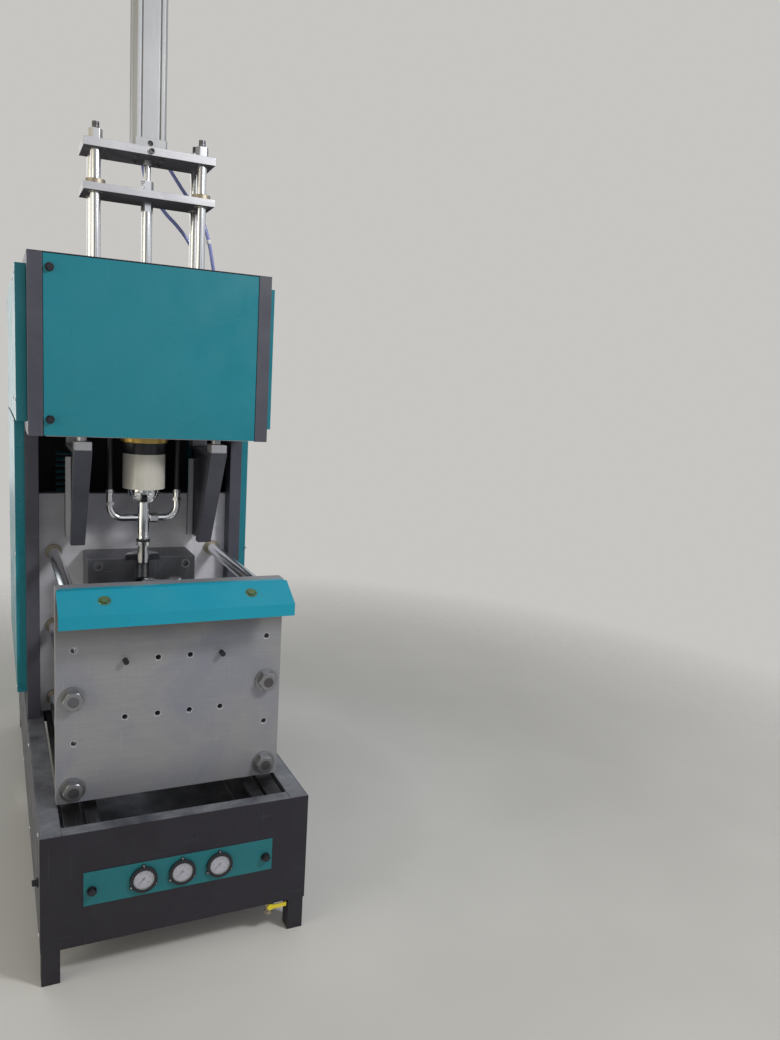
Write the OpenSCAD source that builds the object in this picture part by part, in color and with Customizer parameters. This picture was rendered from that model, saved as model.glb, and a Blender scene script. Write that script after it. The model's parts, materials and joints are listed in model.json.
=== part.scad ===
// One-station stretch blow moulding machine for large jars, shown with its mould open.
// X runs across the machine, Y from the operator to the back, Z up, in millimetres.
// The origin lies on the floor under the middle of the machine.

/* [Base frame] */
// Width over the base's side panels
base_w = 700; // [680:5:800]
// Height of the base's top
base_h = 405; // [360:5:500]
// Height of the fascia's lower edge above the floor
fascia_z = 95; // [80:5:110]
// Side of the square front legs
leg_w = 45; // [40:1:50]
// Width of the top rails along the sides
rail_w = 50; // [44:1:56]
// Depth of the cross rails, and side of the tower's tubes
tube_w = 40; // [36:1:44]
// Wall of the steel tubes
tube_wall = 4; // [3:0.5:5]
// Thickness of the fascia plate
fascia_t = 3; // [2:0.5:4]
// Thickness of the painted sheets
sheet_t = 2; // [1.5:0.5:2.5]

/* [Gauges and locks] */
// Width of the gauge panel
gauge_panel_w = 496; // [460:2:540]
// Height of the gauge panel
gauge_panel_h = 92; // [76:1:96]
// Height of the gauge panel's middle above the fascia's lower edge
gauge_panel_up = 155; // [140:1:180]
// Distance between two gauges
gauge_pitch = 100; // [86:1:120]
// Outer radius of a gauge's case behind the panel
gauge_case_r = 30; // [26:0.5:32]
// Radius of a gauge's bezel
gauge_bezel_r = 35; // [34:0.5:37]
// Radius of a panel lock's knob
lock_knob_r = 12; // [10:0.5:13]
// Radius of a panel lock's shaft
lock_shaft_r = 4; // [3:0.5:4.5]

/* [Clamp unit] */
// Distance from the fascia to the moving platen
platen_back = 150; // [120:1:180]
// Gap between the base's sides and the moving platen's sides
platen_side = 48; // [40:1:55]
// Height of the moving platen
platen_h = 587; // [580:1:640]
// Thickness of the moving platen
platen_t = 42; // [36:1:50]
// Gap between the base's top and the platens that slide over it
bed_gap = 8; // [4:1:14]
// Radius of the guide rods
rod_r = 19; // [17:0.5:21]
// Distance from the platen's sides to the guide rods
rod_edge = 41; // [38:1:44]
// Distance from the platen's lower edge to the lowest guide rods
rod_up = 39; // [36:1:44]
// Distance from the platen's upper edge to the highest guide rods
rod_down = 46; // [45:1:50]
// Width of the opening between the two mould halves
daylight = 342; // [280:1:380]
// Thickness of the fixed platen
fixed_t = 40; // [34:1:50]
// Height of the fixed platen above the moving platen's top
fixed_up = 148; // [120:1:160]
// Thickness of the crosshead at the back
crosshead_t = 30; // [26:1:40]
// Outer radius of the clamp cylinder
clamp_r = 65; // [58:1:80]
// Bore radius of the clamp cylinder
clamp_bore_r = 50; // [44:1:54]
// Radius of the clamp cylinder's piston rod
clamp_rod_r = 22; // [18:0.5:26]

/* [Mould] */
// Width of the mould
mould_w = 340; // [330:2:346]
// Height of the mould
mould_h = 528; // [520:1:560]
// Depth of one mould half
mould_depth = 158; // [152:1:170]
// Radius of the jar's body
jar_r = 135; // [125:1:138]
// Depth of the jar's ribs
rib_d = 4; // [2:0.5:6]
// Number of ribs on the jar's body
rib_count = 5; // [3:1:6]
// Radius of the neck's bore
neck_r = 20; // [18.5:0.5:24]
// Outer radius of the neck ring
neck_ring_r = 55; // [50:1:60]

/* [Nozzle unit] */
// Distance from the mould's top to the seal cylinder's gland
nozzle_reach = 185; // [170:1:210]
// Radius of the nozzle tube
nozzle_r = 19; // [18:0.5:22]
// Radius of the blow pin
pin_r = 17; // [15:0.5:17.5]
// Outer radius of the seal cylinder
seal_r = 66; // [62:1:72]
// Stroke of the seal cylinder
nozzle_stroke = 30; // [20:1:34]
// Radius of the air pipes
pipe_r = 11; // [9:0.5:12]
// Distance from the nozzle's axis to the upright legs of the air pipes
pipe_x = 105; // [95:1:115]
// Radius of the black hoses on the air pipes
hose_r = 8; // [6:0.5:8.5]

/* [Hood] */
// Height of the hood
hood_h = 509; // [480:1:560]
// Overhang of the hood in front of the fixed platen
hood_over = 346; // [330:1:360]
// How far the side covers stand out from the frame
cover_out = 29; // [20:1:36]

/* [Stretch unit] */
// Radius of the guide columns
column_r = 15; // [13:0.5:17]
// Distance between the columns across the machine
column_pitch_x = 310; // [300:1:320]
// Distance between the front and the rear columns
column_pitch_y = 90; // [84:1:100]
// Distance from the columns' axes to the two plates' sides
plate_edge_x = 36; // [33:1:40]
// Distance from the columns' axes to the two plates' front and rear edges
plate_edge_y = 30; // [29:1:34]
// Thickness of the sliding lower plate
slide_plate_t = 22; // [18:1:26]
// Thickness of the fixed upper plate
top_plate_t = 24; // [20:1:28]
// Height of the upper plate above the hood
plate_rise = 323; // [300:1:340]
// Gap between the plates at rest
plate_gap = 99; // [94:1:110]
// Stroke of the stretch rod
stretch_stroke = 450; // [400:1:455]
// Radius of the stretch rod
stretch_rod_r = 8; // [6:0.5:9]
// Width of the stretch cylinder's square profile
cylinder_w = 100; // [90:1:110]
// Radius of the blue air hoses
air_hose_r = 6; // [4:0.5:6.5]

/* [Hidden] */
$fn = 48;
// Half clearance of a running fit, and the gap kept round parts that only pass
fit = 0.05;
play = 0.3;
// Outer faces of the frame, and depth of the tower's posts
side_x = base_w/2 - sheet_t;
post_d = 60;
// Platens and guide rods
platen_w = base_w - 2*platen_side;
platen_z = base_h + bed_gap;
rod_z0 = platen_z + rod_up;
rod_pitch = (platen_h - rod_up - rod_down)/2;
rod_x = platen_w/2 - rod_edge;
stud_r = 14;
nut_h = 22;
washer_r = 33;
washer_t = 5;
nut_r = 27;
end_play = 6;
piston_t = 30;
gland_t = 35;
clamp_len = daylight + piston_t + 2*gland_t + end_play;
rear_gap = 12;
// Depth chain from the fascia to the back of the frame
machine_depth = platen_back + platen_t + 2*mould_depth + daylight + fixed_t + clamp_len + end_play
    + crosshead_t + nut_h + daylight + rear_gap;
front_y = -machine_depth/2;
back_y = machine_depth/2;
platen_y = front_y + platen_back;
axis_y = platen_y + platen_t + mould_depth + daylight;
fixed_y = axis_y + mould_depth;
fixed_back_y = fixed_y + fixed_t;
crosshead_y = fixed_back_y + clamp_len + end_play;
clamp_z = rod_z0 + rod_pitch;
mould_gap = 0.3;
mould_z = platen_z + 17;
mould_top = mould_z + mould_h;
// Height chain of the nozzle and seal cylinder
gland_z = mould_top + nozzle_reach;
seal_z = gland_z + 45;
seal_h = 112;
seal_cap_z = seal_z + seal_h;
seal_cap_t = 36;
seal_flange_z = seal_cap_z + seal_cap_t;
seal_flange_t = 20;
head_z = seal_flange_z + seal_flange_t;
head_t = 25;
head_top = head_z + head_t;
pin_drop = 18;
seat_up = 43;
seat_t = 12;
oring_gap = 9;
nozzle_z = mould_top + seat_up + seat_t + oring_gap;
rod_bore_r = stretch_rod_r + 1;
pipe_z = nozzle_z + 68;
// Hood
hood_z = head_z + 3;
hood_top = hood_z + hood_h;
hood_y = fixed_y - hood_over;
hood_rail = 28;
lock_inset = 18;
lock_under = 11;
// Stretch unit
top_plate_z = hood_top + plate_rise;
slide_plate_z = top_plate_z - plate_gap - slide_plate_t;
tube_nut_h = 30;
tube_z = slide_plate_z - tube_nut_h;
tube_len = 190;
tube_r = 16;
plate_w = column_pitch_x + 2*plate_edge_x;
plate_d = column_pitch_y + 2*plate_edge_y;
cylinder_z = top_plate_z + top_plate_t;
cylinder_cap_t = 30;
cylinder_bore_r = 40;
cylinder_len = stretch_stroke + 80;
piston_rod_r = 10;
roof_gap = 10;

frame_paint = [0.25, 0.24, 0.29];
teal = [0.11, 0.5, 0.56];
steel = [0.5, 0.5, 0.52];
chrome = [0.8, 0.81, 0.83];
bronze = [0.72, 0.55, 0.28];
black = [0.06, 0.06, 0.07];

// A box from its lowest corner to its highest corner
module block(lo, hi) translate(lo) cube(hi - lo);

// A box drawn twice, once on each side of the machine
module both_sides() {
    children();
    mirror([1, 0, 0]) children();
}

// Square tube along one axis (0 is X, 1 is Y, 2 is Z) with open ends
module tube(lo, hi, along) {
    wall = [for (i = [0:2]) i == along ? -1 : tube_wall];
    difference() {
        block(lo, hi);
        block(lo + wall, hi - wall);
    }
}

// Cylinder along +Y from a point
module rod_y(at, length, r) translate(at) rotate([-90, 0, 0]) cylinder(h = length, r = r);

// Six places of the guide rods, at a given depth
module at_rods(y) {
    for (side = [-1, 1], row = [0:2])
        translate([side*rod_x, y, rod_z0 + row*rod_pitch]) children();
}

// Four places of the guide columns, at a given height
module at_columns(z) {
    for (side = [-1, 1], end = [-1, 1])
        translate([side*column_pitch_x/2, axis_y + end*column_pitch_y/2, z]) children();
}

// Front legs, tower posts, hood posts and rear posts
module uprights() {
    color(frame_paint) both_sides() {
        tube([side_x - leg_w, front_y + fascia_t, 0],
            [side_x, front_y + fascia_t + leg_w, base_h - tube_w], 2);
        tube([side_x - tube_w, fixed_y - post_d, base_h], [side_x, fixed_y, hood_z], 2);
        tube([side_x - tube_w, hood_y, hood_z], [side_x, hood_y + tube_w, hood_top - sheet_t], 2);
        tube([side_x - tube_w, back_y - tube_w, 0], [side_x, back_y, hood_top - sheet_t], 2);
    }
}

// Rails that run from front to back, and the flat bars in the base's well
way_t = 15;
way_drop = 5;
way_gap = 8;
way_wide = 46;
way_narrow = 36;
way_out = side_x - rail_w - way_gap;
way_in = way_out - way_wide - way_gap;
way_x = [[way_in - way_narrow, way_in], [way_out - way_wide, way_out]];
module side_rails() {
    color(frame_paint) both_sides() {
        tube([side_x - rail_w, front_y + fascia_t, base_h - tube_w], [side_x, back_y - tube_w, base_h], 1);
        tube([side_x - tube_w, front_y + fascia_t + leg_w, fascia_z],
            [side_x, back_y - tube_w, fascia_z + tube_w], 1);
        tube([side_x - tube_w, hood_y + tube_w, hood_z], [side_x, back_y - tube_w, hood_z + tube_w], 1);
        tube([side_x - tube_w, hood_y + tube_w, hood_top - sheet_t - tube_w],
            [side_x, back_y - tube_w, hood_top - sheet_t], 1);
        for (x = way_x)
            block([x[0], front_y + fascia_t + tube_w, base_h - way_drop - way_t],
                [x[1], fixed_y, base_h - way_drop]);
    }
}

// Rails that run across the machine
module cross_rail(y, z, half, size) tube([-half, y, z], [half, y + size[0], z + size[1]], 0);
module cross_rails() {
    rail_half = side_x - rail_w;
    post_half = side_x - tube_w;
    square_tube = [tube_w, tube_w];
    hood_tube = [hood_rail + 2, hood_rail];
    color(frame_paint) {
        cross_rail(front_y + fascia_t, base_h - tube_w, rail_half, square_tube);
        cross_rail(front_y + fascia_t, fascia_z, side_x - leg_w, square_tube);
        cross_rail(fixed_y, base_h - tube_w, rail_half, square_tube);
        for (z = [fascia_z, base_h - tube_w, hood_z, hood_top - sheet_t - tube_w])
            cross_rail(back_y - tube_w, z, post_half, square_tube);
        cross_rail(hood_y + 2*sheet_t, hood_z + sheet_t, post_half, hood_tube);
        cross_rail(hood_y + 2*sheet_t, hood_top - sheet_t - hood_rail, post_half, hood_tube);
    }
}

// Height of the gauges, and the places of everything let into the gauge panel
gauge_z = fascia_z + gauge_panel_up;
gauge_lock_x = gauge_panel_w/2 - 20;
gauge_lock_z = gauge_z - 5;
gauge_hole_r = gauge_case_r + play;
lock_hole_r = lock_shaft_r + 0.5;
cam_l = 40;
cam_w = 9;
cam_t = 3;
module gauge_holes(y, depth) {
    for (i = [-1:1])
        rod_y([i*gauge_pitch, y, gauge_z], depth, gauge_hole_r);
}

// Front plate of the base, with the gauges' holes and the slots of the quarter-turn locks
module base_fascia() {
    slot_l = cam_l + 4;
    slot_w = cam_w + 2;
    color(frame_paint) difference() {
        block([-base_w/2, front_y, fascia_z], [base_w/2, front_y + fascia_t, base_h]);
        gauge_holes(front_y - 1, fascia_t + 2);
        for (side = [-1, 1])
            translate([side*gauge_lock_x, front_y - 1, gauge_lock_z])
                rotate([-90, 0, 0]) linear_extrude(fascia_t + 2)
                    square([slot_w, slot_l], center = true);
    }
}

// Side sheets of the base, the left one with the hole of its lock, and the tray in front of the fixed platen
side_lock_y = front_y + 75;
side_lock_z = gauge_z - 2;
module base_side_panels() {
    color(frame_paint) difference() {
        both_sides()
            block([side_x, front_y + fascia_t, fascia_z], [base_w/2, back_y, base_h]);
        translate([-base_w/2 - 1, side_lock_y, side_lock_z])
            rotate([0, 90, 0]) cylinder(h = sheet_t + 2, r = lock_hole_r);
    }
    color(frame_paint) block([-side_x + tube_w, front_y + fascia_t + leg_w, fascia_z],
        [side_x - tube_w, fixed_y, fascia_z + sheet_t]);
}

// Teal strip that carries the gauges
module gauge_panel() {
    color(teal) difference() {
        translate([0, front_y, gauge_z]) rotate([90, 0, 0]) linear_extrude(sheet_t)
            square([gauge_panel_w, gauge_panel_h], center = true);
        gauge_holes(front_y - sheet_t - 1, sheet_t + 2);
        for (side = [-1, 1])
            rod_y([side*gauge_lock_x, front_y - sheet_t - 1, gauge_lock_z], sheet_t + 2, lock_hole_r);
    }
}

// Gauge: cup with a bezel and three ears, a square stem and a socket at the back
bezel_t = 9;
case_back = 26;
cup_t = 3.5;
face_y = front_y - sheet_t;
module gauge_case() {
    rotate([-90, 0, 0]) {
        rotate_extrude() polygon([[0, case_back], [gauge_case_r, case_back], [gauge_case_r, 0],
            [gauge_bezel_r, 0], [gauge_bezel_r, -bezel_t], [gauge_case_r - cup_t, -bezel_t],
            [gauge_case_r - cup_t, case_back - cup_t], [0, case_back - cup_t]]);
        for (turn = [30, 150, 270])
            rotate([0, 0, turn]) translate([gauge_bezel_r + 1, 0, -3]) cylinder(h = 3, r = 5);
        translate([-7, -7, case_back]) cube([14, 14, 10]);
        translate([0, 0, case_back + 10]) cylinder(h = 14, r = 6.5);
    }
}
module gauge_cases() {
    color(black) for (i = [-1:1])
        translate([i*gauge_pitch, face_y, gauge_z]) gauge_case();
}

dial_y = -2;
dial_t = 1.5;
dial_r = gauge_case_r - cup_t - 0.1;
module gauge_dials() {
    color("white") for (i = [-1:1])
        translate([i*gauge_pitch, face_y + dial_y, gauge_z]) rotate([-90, 0, 0]) difference() {
            cylinder(h = dial_t, r = dial_r);
            translate([0, 0, -1]) cylinder(h = dial_t + 2, r = 1.5 + play);
        }
}

// Needle with its hub and spindle, resting at the start of the scale
needle_l = 20;
module gauge_needle(i) {
    color(black) translate([i*gauge_pitch, face_y + dial_y, gauge_z]) rotate([-90, 0, 0]) {
        translate([0, 0, -2.5]) cylinder(h = 2, r = 3);
        translate([0, 0, -0.6]) cylinder(h = 16, r = 1.5);
        rotate([0, 0, 135]) translate([0, 0, -2]) linear_extrude(1)
            polygon([[-6, -1.2], [-6, 1.2], [0, 1.2], [needle_l, 0.4], [needle_l, -0.4], [0, -1.2]]);
    }
}
module needle_left() gauge_needle(-1);
module needle_middle() gauge_needle(0);
module needle_right() gauge_needle(1);

module gauge_glasses() {
    color([0.8, 0.9, 0.95, 0.3]) for (i = [-1:1])
        rod_y([i*gauge_pitch, face_y - bezel_t + 1, gauge_z], 1.5, dial_r);
}

// Quarter-turn lock along +Z of its own frame: knob below, cam at the far end pointing along +X
module panel_lock(reach, cam_from, cam_to) {
    knob_h = 15;
    grip_w = 6;
    color(black) {
        translate([0, 0, -play - 4]) cylinder(h = 4, r = lock_knob_r);
        translate([0, 0, -play - knob_h]) linear_extrude(knob_h - 4) {
            square([2*lock_knob_r - 2, grip_w], center = true);
            circle(r = lock_knob_r - 4);
        }
        translate([0, 0, -play]) cylinder(h = reach + cam_t + play, r = lock_shaft_r);
        translate([cam_from, -cam_w/2, reach]) cube([cam_to - cam_from, cam_w, cam_t]);
    }
}
module gauge_lock(side) {
    translate([side*gauge_lock_x, face_y, gauge_lock_z]) rotate([-90, 0, 0])
        panel_lock(sheet_t + fascia_t + play, -cam_l/2, cam_l/2);
}
module lock_gauge_left() gauge_lock(-1);
module lock_gauge_right() gauge_lock(1);

// Locks of the hood's front panel, whose cams reach behind the two cross rails
hood_lock_x = -(side_x - tube_w - lock_inset);
hood_face_y = hood_y + sheet_t;
hood_reach = sheet_t + hood_rail + 2 + play;
hood_lock_low = hood_z + sheet_t + hood_rail + lock_inset;
hood_lock_high = hood_top - sheet_t - hood_rail - lock_under;
module hood_lock(z, turn) {
    translate([hood_lock_x, hood_face_y, z]) rotate([-90, 0, 0]) rotate([0, 0, turn])
        panel_lock(hood_reach, -cam_w/2, cam_l - 6);
}
module lock_hood_top() hood_lock(hood_lock_high, -90);
module lock_hood_bottom() hood_lock(hood_lock_low, 90);

// Lock of the base's left side panel, whose cam reaches behind the front leg
module lock_base_side() {
    translate([-base_w/2, side_lock_y, side_lock_z]) rotate([0, 90, 0]) rotate([0, 0, -90])
        panel_lock(sheet_t + leg_w + play, -cam_w/2, cam_l + 4);
}

// Drain ball valve that hangs from the front rail: stem to the front, outlet down
valve_side = 96;
valve_x = side_x - valve_side;
valve_y = front_y + 24;
valve_up = 14;
valve_z = fascia_z - valve_up;
valve_low = 28;
valve_r = 10;
ball_r = 13.5;
stem_l = 16;
outlet_r = 6;
outlet_l = 20;
module drain_valve() {
    hex_h = 10;
    color(bronze) translate([valve_x, valve_y, valve_z]) difference() {
        union() {
            translate([0, 0, -valve_low]) cylinder(h = valve_low + valve_up, r = valve_r);
            translate([0, 0, -valve_low]) cylinder(h = hex_h, r = valve_r + 2.5, $fn = 6);
            translate([0, 0, valve_up - hex_h/2]) cylinder(h = hex_h/2, r = valve_r + 2.5, $fn = 6);
            sphere(r = ball_r);
            rod_y([0, -stem_l, 0], stem_l, outlet_r);
        }
        translate([0, 0, -valve_low - 1]) cylinder(h = outlet_l + 1, r = outlet_r);
    }
}
module drain_lever() {
    lever_t = 4;
    lever_w = 12;
    lever_l = 46;
    lever_y = valve_y - stem_l - play - lever_t;
    color("gold") {
        rod_y([valve_x, lever_y, valve_z], lever_t, 9);
        block([valve_x, lever_y, valve_z - lever_w/2], [valve_x + lever_l, lever_y + lever_t, valve_z + lever_w/2]);
    }
}

// Front panel of the hood, set in between its posts
module hood_front_panel() {
    half = side_x - tube_w - 1;
    color(teal) difference() {
        block([-half, hood_face_y, hood_z + sheet_t], [half, hood_face_y + sheet_t, hood_top - 2*sheet_t]);
        for (z = [hood_lock_low, hood_lock_high])
            rod_y([hood_lock_x, hood_face_y - 1, z], sheet_t + 2, lock_hole_r);
    }
}

// Side cover: a sheet folded on its four sides, drawn on the right
module cover_pan(lo, hi) {
    out_x = side_x + cover_out;
    difference() {
        block([side_x, lo[0], lo[1]], [out_x, hi[0], hi[1]]);
        block([side_x - 1, lo[0] + sheet_t, lo[1] + sheet_t],
            [out_x - sheet_t, hi[0] - sheet_t, hi[1] - sheet_t]);
    }
}
module side_covers() {
    hood_set = 62;
    tower_set = 32;
    tower_low = base_h + 85;
    seam = 10;
    fold_low = hood_z + 37;
    cover_back = back_y - tube_w + 12;
    color(teal) both_sides() {
        cover_pan([hood_y + hood_set, fold_low], [cover_back, hood_top - 31]);
        cover_pan([fixed_y - post_d + tower_set - 4, tower_low], [cover_back, fold_low - seam]);
    }
}

// Sheets over the back of the tower and of the hood, the lower one with rows of vent slots
module back_panels() {
    half = side_x - 1;
    slot_w = 90;
    slot_h = 6;
    color(teal) {
        difference() {
            block([-half, back_y, base_h + 10], [half, back_y + sheet_t, hood_z - 4]);
            for (side = [-1, 1], row = [0:7])
                translate([side*150 - slot_w/2, back_y - 1, hood_z - 160 - row*26])
                    cube([slot_w, sheet_t + 2, slot_h]);
        }
        block([-half, back_y, hood_z + 4], [half, back_y + sheet_t, hood_top]);
    }
}

// Places where the two air hoses pass the roof, and the roof with the stretch unit's opening
hose_back = plate_d/2 + 23;
roof_hose = [[side_x - 112, hose_back], [side_x - 156, hose_back + 8]];
module hood_roof() {
    hole_x = plate_w/2 + roof_gap;
    hole_y = plate_d/2 + roof_gap;
    color(frame_paint) difference() {
        block([-side_x, hood_y, hood_top - sheet_t], [side_x, back_y, hood_top]);
        block([-hole_x, axis_y - hole_y, hood_top - sheet_t - 1], [hole_x, axis_y + hole_y, hood_top + 1]);
        for (h = roof_hose)
            translate([h[0], axis_y + h[1], hood_top - sheet_t - 1])
                cylinder(h = sheet_t + 2, r = air_hose_r + play);
    }
}

// Fixed platen on the tower's posts, with the bores of its six guide bushes
bush_r = rod_r + 5;
bush_flange_r = bush_r + 2;
bush_flange_t = 10;
module fixed_platen() {
    half = side_x - 4;
    color(steel) difference() {
        block([-half, fixed_y, base_h], [half, fixed_back_y, platen_z + platen_h + fixed_up]);
        at_rods(fixed_y - 1) rod_y([0, 0, 0], fixed_t + 2, bush_r);
    }
}

// Bushes of the guide rods in the fixed platen, and of the mould's leader pins
leader_r = 10;
leader_l = 30;
leader_in = 31;
leader_up = [30, mould_h - 25];
module at_leaders(y) {
    for (side = [-1, 1], up = leader_up)
        translate([side*(mould_w/2 - leader_in), y, mould_z + up]) children();
}
module guide_bushes() {
    color(bronze) {
        at_rods(fixed_y - bush_flange_t) difference() {
            union() {
                rod_y([0, 0, 0], bush_flange_t, bush_flange_r);
                rod_y([0, bush_flange_t, 0], fixed_t, bush_r);
            }
            rod_y([0, -1, 0], fixed_t + bush_flange_t + 2, rod_r + fit);
        }
        at_leaders(axis_y + mould_gap) difference() {
            rod_y([0, 0, 0], leader_l + 4, leader_r + 5);
            rod_y([0, -1, 0], leader_l + 3, leader_r + play);
        }
    }
}

// Welded bracket: web, tapering bar that slopes in front, strip on the platen and bar on top
gusset_x = 200;
gusset_w = 50;
gusset_t = 12;
gusset_bar_d = 40;
gusset_foot_w = 42;
gusset_foot_out = 160;
gusset_strip_drop = 49;
gusset_front = fixed_y - hood_over + 13;
gusset_low = platen_z + platen_h + 4;
block_h = 25;
boss_h = 12;
boss_r = 14;
gusset_top = head_z - boss_h - block_h;
module gusset() {
    foot_y = fixed_y - gusset_foot_out;
    web = [[gusset_front + gusset_bar_d/2, gusset_top], [fixed_y, gusset_top], [fixed_y, gusset_low],
        [foot_y + gusset_bar_d/2, gusset_low]];
    hull() {
        block([-gusset_w/2, gusset_front, gusset_top - 1],
            [gusset_w/2, gusset_front + gusset_bar_d, gusset_top]);
        block([-gusset_foot_w/2, foot_y, gusset_low],
            [gusset_foot_w/2, foot_y + gusset_bar_d, gusset_low + 1]);
    }
    translate([-gusset_t/2, 0, 0]) rotate([90, 0, 90]) linear_extrude(gusset_t) polygon(web);
    block([-gusset_w/2, fixed_y - gusset_t, gusset_low],
        [gusset_w/2, fixed_y, gusset_top - gusset_strip_drop]);
    block([-gusset_w/2, gusset_front + 10, gusset_top - gusset_t], [gusset_w/2, fixed_y, gusset_top]);
}
module gussets() {
    color(frame_paint) for (side = [-1, 1])
        translate([side*gusset_x, 0, 0]) gusset();
}

// Blocks between the brackets and the head plate
block_w = 48;
block_d = 60;
front_block_y = gusset_front + 2;
rear_block_y = fixed_y - block_d;
module gusset_blocks() {
    color(steel) for (side = [-1, 1], y = [front_block_y, rear_block_y])
        block([side*gusset_x - block_w/2, y, gusset_top],
            [side*gusset_x + block_w/2, y + block_d, gusset_top + block_h]);
}

// Head plate that hangs the seal cylinder and stands the columns, with bosses on the blocks
head_half = side_x - tube_w - 8;
head_front = hood_y + 2*sheet_t + hood_rail + 12;
head_back = fixed_y + 160;
rod_way_r = 30;
hose_hole_r = hose_r + 3;
column_stud_r = 11;
column_stud_l = 20;
module head_plate() {
    color(steel) difference() {
        union() {
            block([-head_half, head_front, head_z], [head_half, head_back, head_top]);
            for (side = [-1, 1], y = [head_front + boss_r + 1, rear_block_y + block_d/2])
                translate([side*gusset_x, y, gusset_top + block_h]) cylinder(h = boss_h, r = boss_r);
        }
        translate([0, axis_y, head_z - 1]) cylinder(h = head_t + 2, r = rod_way_r);
        for (side = [-1, 1])
            translate([side*pipe_x, axis_y, head_z - 1]) cylinder(h = head_t + 2, r = hose_hole_r);
        at_columns(head_top - column_stud_l - 1)
            cylinder(h = column_stud_l + 2, r = column_stud_r + play);
    }
}

// Seal cylinder: barrel, dark cap, mounting flange and chromed gland
seal_bore_r = 50;
module seal_barrel() {
    color([0.85, 0.84, 0.78]) translate([0, axis_y, seal_z]) difference() {
        cylinder(h = seal_h, r = seal_r);
        translate([0, 0, -1]) cylinder(h = seal_h + 2, r = seal_bore_r);
    }
}
module drilled_disc(z, h, r, bore) {
    translate([0, axis_y, z]) difference() {
        cylinder(h = h, r = r);
        translate([0, 0, -1]) cylinder(h = h + 2, r = bore);
    }
}
module seal_cap() color(black) drilled_disc(seal_cap_z, seal_cap_t, seal_r + 1, rod_bore_r + 2);
module seal_flange() color("goldenrod") drilled_disc(seal_flange_z, seal_flange_t, seal_r + 7, rod_bore_r + 2);
module seal_gland() {
    collar_r = 50;
    color(chrome) translate([0, axis_y, gland_z]) rotate_extrude()
        polygon([[nozzle_r + fit, 0], [collar_r - 14, 0], [collar_r - 14, 14], [collar_r - 4, 20],
            [collar_r, 26], [collar_r, 45], [nozzle_r + fit, 45]]);
}

// Outline of the jar from its base up to the mould's top: ribs, shoulder and neck
jar_low = 38;
shoulder_h = 80;
neck_h = 78;
heel = 14;
body_low = jar_low + heel;
body_high = mould_h - neck_h - shoulder_h;
function rib_point(z) =
    let (share = (z - body_low)/(body_high - body_low), wave = share*rib_count)
    jar_r - rib_d*pow(sin(180*wave), 6);
function jar_outline() = concat(
    [[0, jar_low + heel], [jar_r*0.55, jar_low + heel*0.7], [jar_r*0.8, jar_low]],
    [[jar_r - 6, jar_low + 3]],
    [for (i = [0:rib_count*8]) let (z = body_low + i*(body_high - body_low)/(rib_count*8)) [rib_point(z), z]],
    [for (i = [1:7]) let (a = i*90/8)
        [neck_r + 6 + (jar_r - neck_r - 6)*cos(a), body_high + shoulder_h*sin(a)]],
    [[neck_r + 6, body_high + shoulder_h], [neck_r, body_high + shoulder_h + 8], [neck_r, mould_h + 1],
        [0, mould_h + 1]]);

// Mould half: its parting face lies at y = 0 and its back towards +Y
ring_seat_t = 8;
module mould_half() {
    cut = 7;
    difference() {
        translate([0, 0, mould_z]) linear_extrude(mould_h) polygon([[-mould_w/2, 0], [mould_w/2, 0],
            [mould_w/2, mould_depth - mould_gap - cut], [mould_w/2 - cut, mould_depth - mould_gap],
            [-mould_w/2 + cut, mould_depth - mould_gap], [-mould_w/2, mould_depth - mould_gap - cut]]);
        translate([0, 0, mould_z]) rotate_extrude() polygon(jar_outline());
        translate([0, 0, mould_top - ring_seat_t]) cylinder(h = ring_seat_t + 1, r = neck_ring_r + play);
    }
}
module mould_fixed_half() {
    color([0.3, 0.31, 0.33]) difference() {
        translate([0, axis_y + mould_gap, 0]) mould_half();
        at_leaders(axis_y + mould_gap - 1) rod_y([0, 0, 0], leader_l + 5, leader_r + 5);
    }
}
module mould_moving_half() {
    color([0.3, 0.31, 0.33]) difference() {
        translate([0, axis_y - daylight, 0]) mirror([0, 1, 0]) mould_half();
        at_leaders(axis_y - daylight - leader_l) rod_y([0, 0, 0], leader_l + 1, leader_r);
    }
}
module mould_pins() {
    nose = 5;
    color(chrome) at_leaders(axis_y - daylight) rotate([-90, 0, 0]) rotate_extrude()
        polygon([[0, -leader_l], [leader_r, -leader_l], [leader_r, leader_l - nose],
            [leader_r - nose, leader_l], [0, leader_l]]);
}

// Half of the hardened neck ring, seated in the mould's top, with its bore open to y = 0
ring_proud = 12;
module neck_ring_half() {
    ring_h = ring_seat_t + ring_proud;
    translate([0, 0, mould_top - ring_seat_t]) intersection() {
        rotate_extrude() polygon([[neck_r, 0], [neck_ring_r, 0], [neck_ring_r, ring_h - 3],
            [neck_ring_r - 4, ring_h], [neck_r + 4, ring_h], [neck_r, ring_h - 4]]);
        translate([-neck_ring_r, 0, -1]) cube([2*neck_ring_r, neck_ring_r, ring_h + 2]);
    }
}
module neck_ring_fixed() color(chrome) translate([0, axis_y + mould_gap, 0]) neck_ring_half();
module neck_ring_moving() color(chrome) translate([0, axis_y - daylight, 0]) mirror([0, 1, 0]) neck_ring_half();

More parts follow.
